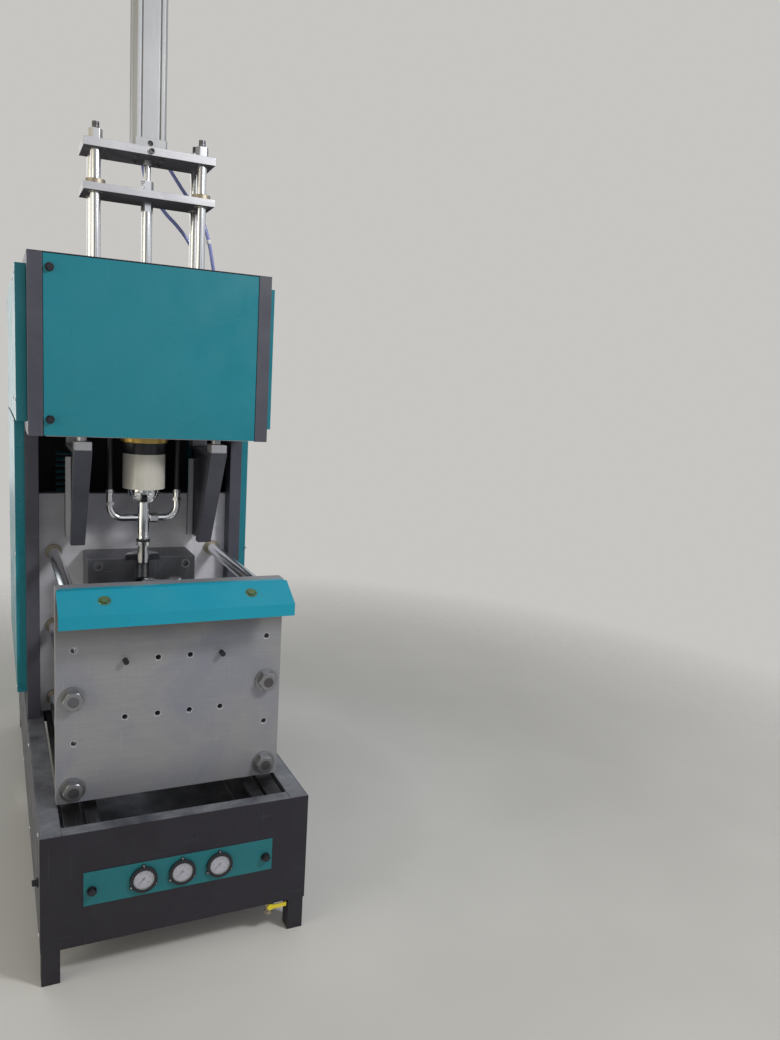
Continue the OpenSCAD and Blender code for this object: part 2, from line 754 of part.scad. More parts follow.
// Moving platen: rod studs, two rows of mould screw holes and four free corner holes
hole_r = 7.5;
hole_x = [43, 129];
hole_z = [225, 384];
corner_x = 258;
corner_z = [166, 421];
module moving_platen() {
    color(steel) difference() {
        block([-platen_w/2, platen_y, platen_z], [platen_w/2, platen_y + platen_t, platen_z + platen_h]);
        at_rods(platen_y - 1) rod_y([0, 0, 0], platen_t + 2, stud_r + play);
        for (side = [-1, 1], x = hole_x, z = hole_z)
            rod_y([side*x, platen_y - 1, platen_z + z], platen_t + 2, hole_r);
        for (side = [-1, 1], z = corner_z)
            rod_y([side*corner_x, platen_y - 1, platen_z + z], platen_t + 2, hole_r);
    }
}

// Bent sheet over the top guide rods' nuts: flange on the platen, flat top, slope and lip
canopy_half = platen_w/2;
canopy_out = 107;
canopy_flat = 30;
canopy_drop = 46;
lip_h = 34;
flange_h = 12;
module canopy() {
    top = platen_z + platen_h;
    fold_y = platen_y - canopy_out;
    corner = 9;
    t = sheet_t;
    outer = [[platen_y, top - flange_h], [platen_y, top], [platen_y - canopy_flat, top],
        [fold_y, top - canopy_drop], [fold_y, top - canopy_drop - lip_h]];
    inner = [[fold_y + t, top - canopy_drop - lip_h], [fold_y + t, top - canopy_drop - t],
        [platen_y - canopy_flat + t/2, top - t], [platen_y - t, top - t],
        [platen_y - t, top - flange_h]];
    color(teal) difference() {
        translate([-canopy_half, 0, 0]) rotate([90, 0, 90]) linear_extrude(2*canopy_half)
            polygon(concat(outer, inner));
        both_sides() translate([0, 0, top - canopy_drop]) linear_extrude(canopy_drop + 1)
            polygon([[canopy_half + 1, platen_y - canopy_flat], [canopy_half - corner, platen_y - 1],
                [canopy_half - corner, platen_y + 1], [canopy_half + 1, platen_y + 1]]);
        for (side = [-1, 1])
            translate(canopy_screw(side)) rotate([canopy_tilt, 0, 0]) cylinder(h = 40, r = 4.5, center = true);
    }
}

// Canopy screws on the slope, and the two studs that stand out of the platen's holes
canopy_run = canopy_out - canopy_flat;
canopy_tilt = atan2(canopy_drop, canopy_run);
screw_share = 0.45;
function canopy_screw(side) = [side*190, platen_y - canopy_flat - screw_share*canopy_run,
    platen_z + platen_h - screw_share*canopy_drop];
module platen_screws() {
    color([0.6, 0.62, 0.5]) {
        for (side = [-1, 1])
            translate(canopy_screw(side)) rotate([canopy_tilt, 0, 0]) {
                cylinder(h = 6, r = 11, $fn = 6);
                translate([0, 0, -20]) cylinder(h = 22, r = 4.2);
            }
        for (side = [-1, 1])
            rod_y([side*hole_x[1], platen_y - 20, platen_z + hole_z[1]], platen_t + 20, hole_r - 0.2);
    }
}

// Guide rods with a threaded stud at each end
module guide_rods() {
    stud_out = nut_h + 3;
    rod_front = platen_y + platen_t;
    color(chrome) at_rods(0) {
        rod_y([0, rod_front, 0], crosshead_y - rod_front, rod_r);
        rod_y([0, platen_y - stud_out, 0], platen_t + stud_out + 1, stud_r);
        rod_y([0, crosshead_y - 1, 0], crosshead_t + nut_h + 1, stud_r);
    }
}
module hex_nut(h) {
    rotate([-90, 0, 0]) difference() {
        intersection() {
            cylinder(h = h, r = nut_r, $fn = 6);
            cylinder(h = h, r1 = nut_r - 3.4, r2 = nut_r + h - 3.4);
            cylinder(h = h, r1 = nut_r + h - 3.4, r2 = nut_r - 3.4);
        }
        translate([0, 0, -1]) cylinder(h = h + 2, r = stud_r + play);
    }
}
module rod_nuts() {
    color(chrome) {
        at_rods(platen_y - washer_t - nut_h + 1) hex_nut(nut_h - 1);
        at_rods(crosshead_y + crosshead_t) hex_nut(nut_h);
    }
}
module rod_washers() {
    color(chrome) at_rods(platen_y - washer_t) difference() {
        rod_y([0, 0, 0], washer_t, washer_r);
        rod_y([0, -1, 0], washer_t + 2, stud_r + play);
    }
}

// Crosshead that the clamp cylinder pushes back to close the mould
clamp_thread_r = 16;
module crosshead() {
    color(steel) difference() {
        block([-platen_w/2, crosshead_y, platen_z + 4],
            [platen_w/2, crosshead_y + crosshead_t, platen_z + platen_h - 4]);
        at_rods(crosshead_y - 1) rod_y([0, 0, 0], crosshead_t + 2, stud_r + play);
        rod_y([0, crosshead_y - 1, clamp_z], crosshead_t + 2, clamp_thread_r + play);
    }
}

// Piston rod of the clamp cylinder, with its piston drawn in at the open mould
module clamp_piston_rod() {
    piston_y = fixed_back_y + gland_t + end_play/2;
    color(chrome) {
        rod_y([0, piston_y, clamp_z], piston_t, clamp_bore_r - play);
        rod_y([0, piston_y, clamp_z], crosshead_y - piston_y, clamp_rod_r);
        rod_y([0, crosshead_y - 1, clamp_z], crosshead_t - 3, clamp_thread_r);
    }
}
port_r = 8.3;
port_l = 15;
module clamp_barrel() {
    foot = 150;
    color(frame_paint) difference() {
        union() {
            rod_y([0, fixed_back_y, clamp_z], clamp_len, clamp_r);
            for (y = [fixed_back_y, fixed_back_y + clamp_len - gland_t])
                block([-foot/2, y, clamp_z - foot/2], [foot/2, y + gland_t, clamp_z + foot/2]);
        }
        rod_y([0, fixed_back_y + gland_t, clamp_z], clamp_len - 2*gland_t, clamp_bore_r);
        rod_y([0, fixed_back_y + clamp_len - gland_t - 1, clamp_z], gland_t + 2, clamp_rod_r + fit);
        for (y = [fixed_back_y, fixed_back_y + clamp_len - gland_t])
            translate([0, y + gland_t/2, clamp_z - foot/2 - 1]) cylinder(h = port_l + 1, r = port_r);
    }
}

// Nozzle tube with the seal cylinder's piston, bored for the stretch rod
module nozzle_tube() {
    piston_z = seal_cap_z - 3 - 25;
    color(chrome) translate([0, axis_y, 0]) difference() {
        union() {
            translate([0, 0, nozzle_z]) cylinder(h = piston_z - nozzle_z + 1, r = nozzle_r);
            translate([0, 0, piston_z]) cylinder(h = 25, r = seal_bore_r - play);
        }
        translate([0, 0, nozzle_z - 1]) cylinder(h = seal_cap_z - nozzle_z + 2, r = rod_bore_r);
    }
}

// Turned tip: blow pin, seat ring and the groove of its seal
module nozzle_tip() {
    seat_z = mould_top + seat_up;
    low = mould_top - pin_drop;
    seat_r = pin_r + 6.5;
    color(chrome) translate([0, axis_y, 0]) rotate_extrude()
        polygon([[rod_bore_r, low], [pin_r - 3, low], [pin_r, low + 3], [pin_r, seat_z - 2],
            [seat_r, seat_z], [seat_r, seat_z + seat_t], [pin_r - 1, seat_z + seat_t],
            [pin_r - 1, nozzle_z], [rod_bore_r, nozzle_z]]);
}

// Bent air pipes on both sides of the nozzle, with their nuts, the right one with a union at the tube
joint_right = 56;
joint_left = 42;
pipe_rise = 40;
pipe_top = gland_z + pipe_rise;
module air_pipe(joint) {
    bend = 40;
    joint_h = 12;
    start = nozzle_r - 1.5;
    translate([0, axis_y, pipe_z]) {
        translate([start, 0, 0]) rotate([0, 90, 0]) cylinder(h = pipe_x - bend - start, r = pipe_r);
        translate([pipe_x - bend, 0, bend]) rotate([90, 0, 0]) rotate([0, 0, -90])
            rotate_extrude(angle = 90) translate([bend, 0]) circle(r = pipe_r);
        translate([pipe_x, 0, bend]) cylinder(h = pipe_top - pipe_z - bend, r = pipe_r);
        translate([pipe_x, 0, joint]) cylinder(h = joint_h, r = pipe_r + 2.5, $fn = 6);
    }
}
module air_pipes() {
    reach = pipe_r + 5;
    union_l = 25;
    color(chrome) difference() {
        union() {
            air_pipe(joint_right);
            mirror([1, 0, 0]) air_pipe(joint_left);
            translate([nozzle_r + 3, axis_y, pipe_z]) rotate([0, 90, 0])
                cylinder(h = union_l, r = pipe_r + 4, $fn = 6);
        }
        translate([0, axis_y, pipe_z - reach]) cylinder(h = 2*reach, r = nozzle_r + fit);
    }
}

// Black hoses from the pipes up through the head plate, each with a coupling at its end
module nozzle_hoses() {
    coupling_z = head_top + nozzle_stroke + 12;
    color(black) for (side = [-1, 1]) translate([side*pipe_x, axis_y, 0]) {
        translate([0, 0, pipe_top]) cylinder(h = coupling_z - pipe_top + 1, r = hose_r);
        translate([0, 0, coupling_z]) cylinder(h = 12, r = hose_r + 5, $fn = 6);
        translate([0, 0, coupling_z + 12]) cylinder(h = 24, r = hose_r + 3);
    }
}

// Sliding plate of the stretch unit and its flanged bushes
slide_bush_r = 20;
module stretch_plate() {
    color(steel) difference() {
        block([-plate_w/2, axis_y - plate_d/2, slide_plate_z],
            [plate_w/2, axis_y + plate_d/2, slide_plate_z + slide_plate_t]);
        at_columns(slide_plate_z - 1) cylinder(h = slide_plate_t + 2, r = slide_bush_r);
        translate([0, axis_y, slide_plate_z - 1]) cylinder(h = slide_plate_t + 2, r = piston_rod_r + play);
    }
}
module stretch_bushes() {
    color(bronze) at_columns(slide_plate_z) difference() {
        union() {
            cylinder(h = slide_plate_t, r = slide_bush_r);
            translate([0, 0, slide_plate_t]) cylinder(h = 12, r = slide_bush_r + 8);
        }
        translate([0, 0, -1]) cylinder(h = slide_plate_t + 14, r = column_r + fit);
    }
}

// Stretch rod: nut under the plate, stout tube, thin rod with a round tip
module stretch_rod() {
    tip_z = mould_top - pin_drop + 2;
    color(chrome) translate([0, axis_y, 0]) {
        translate([0, 0, tube_z]) cylinder(h = tube_nut_h, r = tube_r + 2, $fn = 6);
        translate([0, 0, tube_z - tube_len]) cylinder(h = tube_len + 1, r = tube_r);
        translate([0, 0, tip_z + stretch_rod_r]) cylinder(h = tube_z - tube_len - tip_z - stretch_rod_r + 1,
            r = stretch_rod_r);
        translate([0, 0, tip_z + stretch_rod_r]) sphere(r = stretch_rod_r);
    }
}

// Piston rod of the stretch cylinder, its piston and the joint nut on the plate
joint_nut_h = 38;
module stretch_piston_rod() {
    stretch_piston_t = 30;
    piston_z = cylinder_z + cylinder_cap_t + cylinder_len - stretch_piston_t - 10;
    color(chrome) translate([0, axis_y, 0]) {
        translate([0, 0, slide_plate_z + 1]) cylinder(h = piston_z - slide_plate_z, r = piston_rod_r);
        translate([0, 0, slide_plate_z + slide_plate_t])
            cylinder(h = joint_nut_h, r = piston_rod_r + 9, $fn = 6);
        translate([0, 0, piston_z]) cylinder(h = stretch_piston_t, r = cylinder_bore_r - play);
    }
}

// Columns between the head plate and the upper plate, with studs at both ends and their nuts
top_stud_r = column_stud_r - 1;
column_nut_h = 30;
column_nut_r = top_stud_r + 10;
module guide_columns() {
    stud_out = column_nut_h + 20;
    color(chrome) at_columns(0) {
        translate([0, 0, head_top]) cylinder(h = top_plate_z - head_top, r = column_r);
        translate([0, 0, head_top - column_stud_l]) cylinder(h = column_stud_l + 1, r = column_stud_r);
        translate([0, 0, top_plate_z - 1]) cylinder(h = top_plate_t + stud_out + 1, r = top_stud_r);
    }
}
module column_nuts() {
    color(chrome) at_columns(top_plate_z + top_plate_t) difference() {
        cylinder(h = column_nut_h, r = column_nut_r, $fn = 6);
        translate([0, 0, -1]) cylinder(h = column_nut_h + 2, r = top_stud_r + play);
    }
}
module top_plate() {
    color(steel) difference() {
        block([-plate_w/2, axis_y - plate_d/2, top_plate_z],
            [plate_w/2, axis_y + plate_d/2, top_plate_z + top_plate_t]);
        at_columns(top_plate_z - 1) cylinder(h = top_plate_t + 2, r = top_stud_r + play);
        translate([0, axis_y, top_plate_z - 1]) cylinder(h = top_plate_t + 2, r = piston_rod_r + 4);
    }
}

// Square-profile stretch cylinder: barrel with two sensor grooves in each side
barrel_w = cylinder_w - 4;
groove_w = 6;
groove_d = 5;
groove_x = 27;
module profile(h, w, corner) {
    linear_extrude(h) polygon([for (q = [0:3], s = [-1, 1])
        let (a = q*90, u = [w/2, s*(w/2 - corner)])
        [u[0]*cos(a) - u[1]*sin(a), u[0]*sin(a) + u[1]*cos(a)]]);
}
module stretch_barrel() {
    color([0.75, 0.76, 0.78]) translate([0, axis_y, cylinder_z + cylinder_cap_t]) difference() {
        profile(cylinder_len, barrel_w, 8);
        translate([0, 0, -1]) cylinder(h = cylinder_len + 2, r = cylinder_bore_r);
        for (q = [0:3], side = [-1, 1])
            rotate([0, 0, q*90]) translate([side*groove_x - groove_w/2, barrel_w/2 - groove_d, -1])
                cube([groove_w, groove_d + 1, cylinder_len + 2]);
    }
}

// Caps with a free port in front, and behind an elbow fitting, the lower one to the side
upper_cap_z = cylinder_z + cylinder_cap_t + cylinder_len;
elbow_r = 8;
elbow_out = 36;
elbow_l = 16;
module stretch_cap(z, turn) {
    translate([0, axis_y, z]) {
        profile(cylinder_cap_t, cylinder_w, 6);
        translate([0, 0, cylinder_cap_t/2]) {
            rod_y([0, cylinder_w/2 - 1, 0], elbow_out + 1, elbow_r - 1);
            rod_y([0, cylinder_w/2 - 1, 0], 11, elbow_r + 2);
            translate([0, cylinder_w/2 + elbow_out, 0]) {
                sphere(r = elbow_r);
                rotate([0, turn, 0]) cylinder(h = elbow_l, r = elbow_r);
            }
        }
    }
}
module stretch_caps() {
    color([0.7, 0.71, 0.73]) difference() {
        union() {
            stretch_cap(cylinder_z, 90);
            stretch_cap(upper_cap_z, 180);
        }
        translate([0, axis_y, cylinder_z - 1]) cylinder(h = cylinder_cap_t + 2, r = piston_rod_r + fit);
        for (z = [cylinder_z, upper_cap_z])
            rod_y([0, axis_y - cylinder_w/2 - 1, z + cylinder_cap_t/2], port_l + 1, port_r);
    }
}

// Blue air hoses from the elbows down to bulkhead unions in the hood's roof
elbow_y = cylinder_w/2 + elbow_out;
low_port = cylinder_z + cylinder_cap_t/2 - hood_top;
high_port = upper_cap_z + cylinder_cap_t/2 - elbow_l - hood_top;
far = roof_hose[0];
near = roof_hose[1];
hose_paths = [
    [[elbow_l + 0.1, elbow_y, low_port], [elbow_l + 8, elbow_y, low_port],
        [42, elbow_y + 2, low_port - 3], [64, elbow_y + 6, low_port - 14],
        [84, hose_back - 2, low_port - 31], [98, hose_back, low_port - 49], [131, hose_back, 269],
        [164, hose_back, 230], [194, hose_back, 185], [far[0] - 21, far[1], 124], [far[0] - 8, far[1], 60],
        [far[0], far[1], 12], [far[0], far[1], -12]],
    [[0, elbow_y, high_port - 0.1], [0, elbow_y, high_port - 30], [0, elbow_y + 4, high_port - 106],
        [0, elbow_y + 12, high_port - 206], [0, near[1], high_port - 306], [0, near[1], 500],
        [0, near[1], 400], [3, near[1], 330], [14, near[1], 286], [36, near[1], 245], [75, near[1], 197],
        [110, near[1], 165], [143, near[1], 128], [near[0] - 22, near[1], 84], [near[0] - 6, near[1], 44],
        [near[0], near[1], 8], [near[0], near[1], -12]]
];
module air_hoses() {
    union_r = air_hose_r + 4;
    union_h = 14;
    color([0.2, 0.3, 0.75]) translate([0, axis_y, hood_top]) {
        for (path = hose_paths)
            swept(path, air_hose_r, 10);
        for (at = roof_hose) {
            translate([at[0], at[1], 0]) cylinder(h = union_h, r = union_r, $fn = 6);
            translate([at[0], at[1], -sheet_t - union_h]) cylinder(h = union_h, r = union_r, $fn = 6);
        }
    }
}

// Tube of n sides along a route of points, as one closed polyhedron
function unit(v) = v/norm(v);
function heading(p, i) = unit(p[min(i + 1, len(p) - 1)] - p[max(i - 1, 0)]);
function ring_at(p, i, r, n) =
    let (t = heading(p, i), side = unit(cross(t, [0, 1, 0.001])), up = cross(side, t))
    [for (k = [0:n - 1]) p[i] + r*(cos(360*k/n)*side + sin(360*k/n)*up)];
module swept(p, r, n) {
    last = len(p) - 1;
    points = [for (i = [0:last]) each ring_at(p, i, r, n)];
    sides = [for (i = [0:last - 1], k = [0:n - 1])
        [i*n + k, i*n + (k + 1)%n, (i + 1)*n + (k + 1)%n, (i + 1)*n + k]];
    ends = [[for (k = [0:n - 1]) n - 1 - k], [for (k = [0:n - 1]) last*n + k]];
    polyhedron(points, concat(sides, ends), convexity = 6);
}

uprights();
side_rails();
cross_rails();
base_fascia();
base_side_panels();
gauge_panel();
gauge_cases();
gauge_dials();
needle_left();
needle_middle();
needle_right();
gauge_glasses();
lock_gauge_left();
lock_gauge_right();
lock_hood_top();
lock_hood_bottom();
lock_base_side();
drain_valve();
drain_lever();
hood_front_panel();
side_covers();
back_panels();
hood_roof();
fixed_platen();
guide_bushes();
gussets();
gusset_blocks();
head_plate();
seal_barrel();
seal_cap();
seal_flange();
seal_gland();
mould_fixed_half();
neck_ring_fixed();
moving_platen();
canopy();
platen_screws();
guide_rods();
rod_nuts();
rod_washers();
mould_moving_half();
mould_pins();
neck_ring_moving();
crosshead();
clamp_piston_rod();
clamp_barrel();
nozzle_tube();
nozzle_tip();
air_pipes();
nozzle_hoses();
stretch_plate();
stretch_bushes();
stretch_rod();
stretch_piston_rod();
guide_columns();
column_nuts();
top_plate();
stretch_barrel();
stretch_caps();
air_hoses();
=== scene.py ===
"""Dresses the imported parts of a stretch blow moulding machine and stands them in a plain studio."""

import json
import math

import bmesh
import bpy
from bpy.props import FloatProperty, FloatVectorProperty, IntProperty, PointerProperty
from mathutils import Matrix, Vector


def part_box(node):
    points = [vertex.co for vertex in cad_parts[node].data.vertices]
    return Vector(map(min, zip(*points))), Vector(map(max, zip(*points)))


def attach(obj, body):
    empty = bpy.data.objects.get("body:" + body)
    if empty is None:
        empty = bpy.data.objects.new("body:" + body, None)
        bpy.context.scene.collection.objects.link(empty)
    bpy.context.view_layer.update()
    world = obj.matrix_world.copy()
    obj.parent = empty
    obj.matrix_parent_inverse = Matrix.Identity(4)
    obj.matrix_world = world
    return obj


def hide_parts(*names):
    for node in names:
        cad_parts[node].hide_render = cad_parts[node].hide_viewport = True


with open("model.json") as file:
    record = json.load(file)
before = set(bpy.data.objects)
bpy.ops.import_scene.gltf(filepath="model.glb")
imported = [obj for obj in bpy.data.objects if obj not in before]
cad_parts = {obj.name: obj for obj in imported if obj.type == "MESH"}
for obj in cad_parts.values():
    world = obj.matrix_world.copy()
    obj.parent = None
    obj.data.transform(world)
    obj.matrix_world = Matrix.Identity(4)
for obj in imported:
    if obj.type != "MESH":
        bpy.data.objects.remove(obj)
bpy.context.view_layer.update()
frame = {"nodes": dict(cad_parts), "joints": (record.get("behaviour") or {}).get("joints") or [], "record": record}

bl_info = {
    "name": "Blow Moulding Machine Dresser",
    "version": (1, 0, 0),
    "blender": (4, 5, 0),
    "location": "3D View > Sidebar > Machine",
    "description": "Gives the machine's packed parts their edges, fittings, hoses and finishes",
    "category": "Object",
}

MM = 0.001
SIDES = (-1, 1)
FRAME, CLAMP, NOZZLE, SLIDE = "machine_frame", "clamp_carriage", "nozzle_unit", "stretch_carriage"
PARTS = frame["nodes"]
BODY = {part: body for body, parts in frame["record"]["behaviour"]["bodies"].items() for part in parts}
FINISH = {row["node"]: row["material_slot"] for row in frame["record"]["subparts"]}
PIVOT = {joint["name"]: Vector(joint["pos_m"]) / MM for joint in frame["joints"] if "pos_m" in joint}
AXES = {
    "X": Matrix(((0, 0, 1), (1, 0, 0), (0, 1, 0))),
    "Y": Matrix(((1, 0, 0), (0, 0, 1), (0, -1, 0))),
    "Z": Matrix.Identity(3),
}

# Places that several pieces share, in millimetres from the axis of the nozzle and the stretch rod
PIPE_X = 105
COLUMN_X, COLUMN_Y = 155, 45


def span(part):
    """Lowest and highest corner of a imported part, in millimetres."""
    low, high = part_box(part)
    return low / MM, high / MM


def middle_y(part):
    low, high = span(part)
    return (low.y + high.y) / 2


# Sizes and colours that a user may change


def colour(label, value, about):
    """A colour of one finish, in linear light."""
    return FloatVectorProperty(name=label, description=about, default=value, subtype="COLOR", min=0, max=1)


def length(label, value, about):
    """A length in metres."""
    return FloatProperty(name=label, description=about, default=value, min=0, max=0.2, precision=4,
                         subtype="DISTANCE", unit="LENGTH")


class MachineColours(bpy.types.PropertyGroup):
    """Colours of the paints, metals and plastics."""

    teal: colour("Teal", (0.003, 0.205, 0.265), "Satin paint of the covers")
    # The canopy's colour is the covers' teal made brighter: painted light from above on the canopy.
    hood: colour("Canopy", (0.003, 0.310, 0.445), "Brighter paint of the canopy over the platen")
    # The gauge strip's teal has a greener tint of its own and is darkened by painted shade.
    strip: colour("Gauge strip", (0.004, 0.150, 0.175), "Paint of the strip round the gauges")
    grey: colour("Frame grey", (0.055, 0.056, 0.078), "Purple-grey paint of the frame")
    fascia: colour("Fascia", (0.0115, 0.0092, 0.0170), "Darker paint of the base's front plate")
    steel: colour("Ground steel", (0.36, 0.36, 0.375), "Ground plates")
    nut: colour("Nut steel", (0.36, 0.36, 0.365), "Nuts and washers")
    dark_steel: colour("Mould steel", (0.17, 0.172, 0.185), "Machined mould halves")
    chrome: colour("Chrome", (0.80, 0.81, 0.83), "Hard chrome of rods, columns and pipes")
    bronze: colour("Bronze", (0.46, 0.35, 0.19), "Turned bushes and the drain valve")
    zinc: colour("Zinc", (0.20, 0.27, 0.15), "Passivated screws and washers")
    alloy: colour("Alloy", (0.46, 0.465, 0.47), "Drawn aluminium of the cylinders")
    tube: colour("Seal cylinder", (0.62, 0.60, 0.53), "Cream tube of the seal cylinder")
    gold: colour("Flange", (0.58, 0.40, 0.12), "Golden passivation of the seal flange")
    black: colour("Black plastic", (0.008, 0.008, 0.014), "Gauge cases, knobs and needles")
    # The dials' grey violet, well darker than a white dial, is painted shade on the dials.
    dial: colour("Dial", (0.37, 0.34, 0.45), "Printed gauge dials")
    yellow: colour("Yellow sleeve", (0.75, 0.62, 0.02), "Vinyl sleeve of the drain lever")
    hose: colour("Air hose", (0.25, 0.29, 0.64), "Blue air hoses")
    rubber: colour("Rubber", (0.016, 0.016, 0.018), "Black hoses and the nozzle's seal")
    lens: colour("Lens", (0.90, 0.94, 0.95), "Gauge glasses")
    floor: colour("Floor", (0.68, 0.67, 0.64), "Studio floor")


class MachineSizes(bpy.types.PropertyGroup):
    """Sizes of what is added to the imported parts."""

    plate_edge: length("Plate edge", 0.0014, "Broken edge of the steel plates")
    tube_edge: length("Tube edge", 0.0030, "Rounded corner of the square tubes")
    sheet_edge: length("Sheet edge", 0.0006, "Broken edge of the sheets")
    bead: length("Weld bead", 0.0030, "Half width of a weld bead")
    screw: length("Cover screw", 0.0050, "Head radius of the sheets' screws")
    thread_pitch: length("Thread pitch", 0.0025, "Pitch of the open threads")
    pipe: length("Air pipe", 0.0110, "Outer radius of the bent air pipes")
    pipe_bend: length("Pipe bend", 0.0400, "Bend radius of the air pipes' middle line")
    hose: length("Air hose", 0.0060, "Outer radius of the blue hoses")
    fat_hose: length("Black hose", 0.0080, "Outer radius of the black hoses")
    marks: IntProperty(name="Dial marks", description="Marks on a dial's scale", default=51, min=11, max=101)


def sizes():
    return bpy.context.scene.machine_sizes


# Node trees


class Wires:
    """Adds nodes to a tree and feeds its end node; an input takes a value or the socket that feeds it."""

    def __init__(self, tree, end):
        self.tree, self.end = tree, end.inputs

    def feed(self, inputs, values):
        for key, value in values.items():
            if isinstance(value, bpy.types.NodeSocket):
                self.tree.links.new(value, inputs[key])
            else:
                inputs[key].default_value = value

    def finish(self, values):
        self.feed(self.end, values)

    def add(self, kind, inputs, output=None, **settings):
        """One output of a new node, or all of them."""
        node = self.tree.nodes.new(kind)
        for key, value in settings.items():
            setattr(node, key, value)
        self.feed(node.inputs, inputs)
        return node.outputs if output is None else node.outputs[output]

    def group(self, name, **inputs):
        return self.add("ShaderNodeGroup", inputs, node_tree=bpy.data.node_groups[name])

    def place(self):
        return self.add("ShaderNodeTexCoord", {}, "Object")

    def noise(self, vector, scale, detail=3.0, rough=0.55, warp=0.0):
        return self.add("ShaderNodeTexNoise", {"Vector": vector, "Scale": scale, "Detail": detail,
                                               "Roughness": rough, "Distortion": warp}, "Fac")

    def remap(self, value, low, high, to_low=0.0, to_high=1.0):
        return self.add("ShaderNodeMapRange", {"Value": value, "From Min": low, "From Max": high,
                                               "To Min": to_low, "To Max": to_high}, "Result")

    def maths(self, operation, a, b=0.0):
        return self.add("ShaderNodeMath", {0: a, 1: b}, 0, operation=operation)

    def plus(self, a, b):
        return self.maths("ADD", a, b)

    def times(self, a, b):
        return self.maths("MULTIPLY", a, b)

    def axis_of(self, vector, axis):
        return self.add("ShaderNodeSeparateXYZ", {0: vector}, axis)

    def vector(self, **values):
        return self.add("ShaderNodeCombineXYZ", values, 0)

    def mix(self, share, a, b):
        return self.add("ShaderNodeMix", {0: share, 6: a, 7: b}, 2, data_type="RGBA")

    def lit(self, tint, value):
        return self.add("ShaderNodeHueSaturation", {"Color": tint, "Value": value}, "Color")


SOCKETS = {float: "Float", int: "Int", 3: "Vector", 4: "Color"}


def new_tree(name, kind, inputs, outputs):
    """A node group; an input is given its default, or its kind of socket where it has none."""
    tree = bpy.data.node_groups.new(name, kind)
    for label, default in inputs.items():
        plain = isinstance(default, str)
        sort = default if plain else SOCKETS[len(default) if isinstance(default, tuple) else type(default)]
        socket = tree.interface.new_socket(label, in_out="INPUT", socket_type="NodeSocket" + sort)
        if not plain:
            socket.default_value = default
    for label, sort in outputs.items():
        tree.interface.new_socket(label, in_out="OUTPUT", socket_type="NodeSocket" + sort)
    return Wires(tree, tree.nodes.new("NodeGroupOutput")), tree.nodes.new("NodeGroupInput").outputs


# Finishes

DUST = (0.36, 0.34, 0.31)


def new_effect(name, inputs, *masks, **outputs):
    """A shader group; its masks are plain values."""
    return new_tree(name, "ShaderNodeTree", inputs, {**outputs, **dict.fromkeys(masks, "Float")})


def build_effects():
    """Shader groups that several finishes share."""
    grey = (0.5, 0.5, 0.5, 1)
    w, given = new_effect("Colour Drift", {"Colour": grey, "Scale": 3.0, "Strength": 0.1}, Colour="Color")
    cloud = w.noise(w.place(), given["Scale"], 4.0, 0.5)
    swing = w.times(w.remap(cloud, 0.3, 0.7, -1, 1), given["Strength"])
    w.finish({"Colour": w.lit(given["Colour"], w.plus(swing, 1.0))})

    w, given = new_effect("Orange Peel", {"Scale": 380.0}, "Height", "Sheen")
    place = w.place()
    w.finish({"Height": w.noise(place, given["Scale"], 1.5, 0.5),
              "Sheen": w.remap(w.noise(place, 11.0, 6.0), 0.35, 0.7, -0.06, 0.09)})

    w, given = new_effect("Settled Dust", {"Colour": grey, "Roughness": 0.4, "Dust": rgba(DUST), "Amount": 0.3},
                          "Roughness", Colour="Color")
    surface = w.add("ShaderNodeTexCoord", {})
    lying = w.remap(w.axis_of(surface["Normal"], "Z"), 0.2, 0.95, 0.12, 1.0)
    patches = w.remap(w.noise(surface["Object"], 9.0, 8.0, 0.65), 0.36, 0.68)
    share = w.times(w.times(lying, patches), given["Amount"])
    w.finish({"Colour": w.mix(share, given["Colour"], given["Dust"]),
              "Roughness": w.plus(given["Roughness"], w.times(share, 0.2))})

    w, given = new_effect("Ground Lines", {"Stroke": (900.0, 900.0, 8.0)}, "Height", "Shade")
    stretched = w.add("ShaderNodeVectorMath", {0: w.place(), 1: given["Stroke"]}, 0, operation="MULTIPLY")
    lines = w.noise(stretched, 1.0, 4.0, 0.6)
    w.finish({"Height": lines, "Shade": w.remap(lines, 0.3, 0.7, -1, 1)})

    w, given = new_effect("Oily Blotches", {"Scale": 5.0}, "Mask", "Tint")
    place = w.place()
    w.finish({"Mask": w.remap(w.noise(place, given["Scale"], 7.0, 0.62, 0.6), 0.42, 0.66),
              "Tint": w.remap(w.noise(place, 2.3), 0.4, 0.62)})

    w, given = new_effect("Fine Scratches", {"Scale": 1.0, "Share": 0.3}, "Mask")
    place, marks = w.place(), None
    for stretch, turn in (((7, 300, 260), 0.4), ((260, 300, 6), 1.1), ((250, 5, 280), 2.3)):
        turned = w.add("ShaderNodeMapping", {"Vector": place, "Rotation": (turn, turn / 2, turn / 3),
                                             "Scale": stretch}, "Vector")
        line = w.remap(w.noise(turned, given["Scale"], 1.0, 0.5), 0.70, 0.76)
        marks = line if marks is None else w.maths("MAXIMUM", marks, line)
    w.finish({"Mask": w.times(marks, given["Share"])})


def start_material(name):
    material = bpy.data.materials.new(name)
    material.use_nodes = True
    return Wires(material.node_tree, material.node_tree.nodes["Principled BSDF"])


def rgba(value):
    return (*value, 1.0)


def toned(value, factor, lift=0.0):
    """A colour made paler or darker."""
    return tuple(min(1, factor * channel + lift) for channel in value)


def bump(w, height, strength, distance):
    w.finish({"Normal": w.add("ShaderNodeBump", {"Height": height, "Strength": strength, "Distance": distance},
                              "Normal")})


def dusty_skin(w, tint, rough, scale, dust, ash, strength, depth):
    """A coat's fine waves, with dust on what faces up."""
    skin = w.group("Orange Peel", Scale=scale)
    dusty = w.group("Settled Dust", Colour=tint, Roughness=w.plus(skin["Sheen"], rough), Amount=dust, Dust=rgba(ash))
    w.finish({"Base Color": dusty["Colour"], "Roughness": dusty["Roughness"]})
    bump(w, skin["Height"], strength, depth)


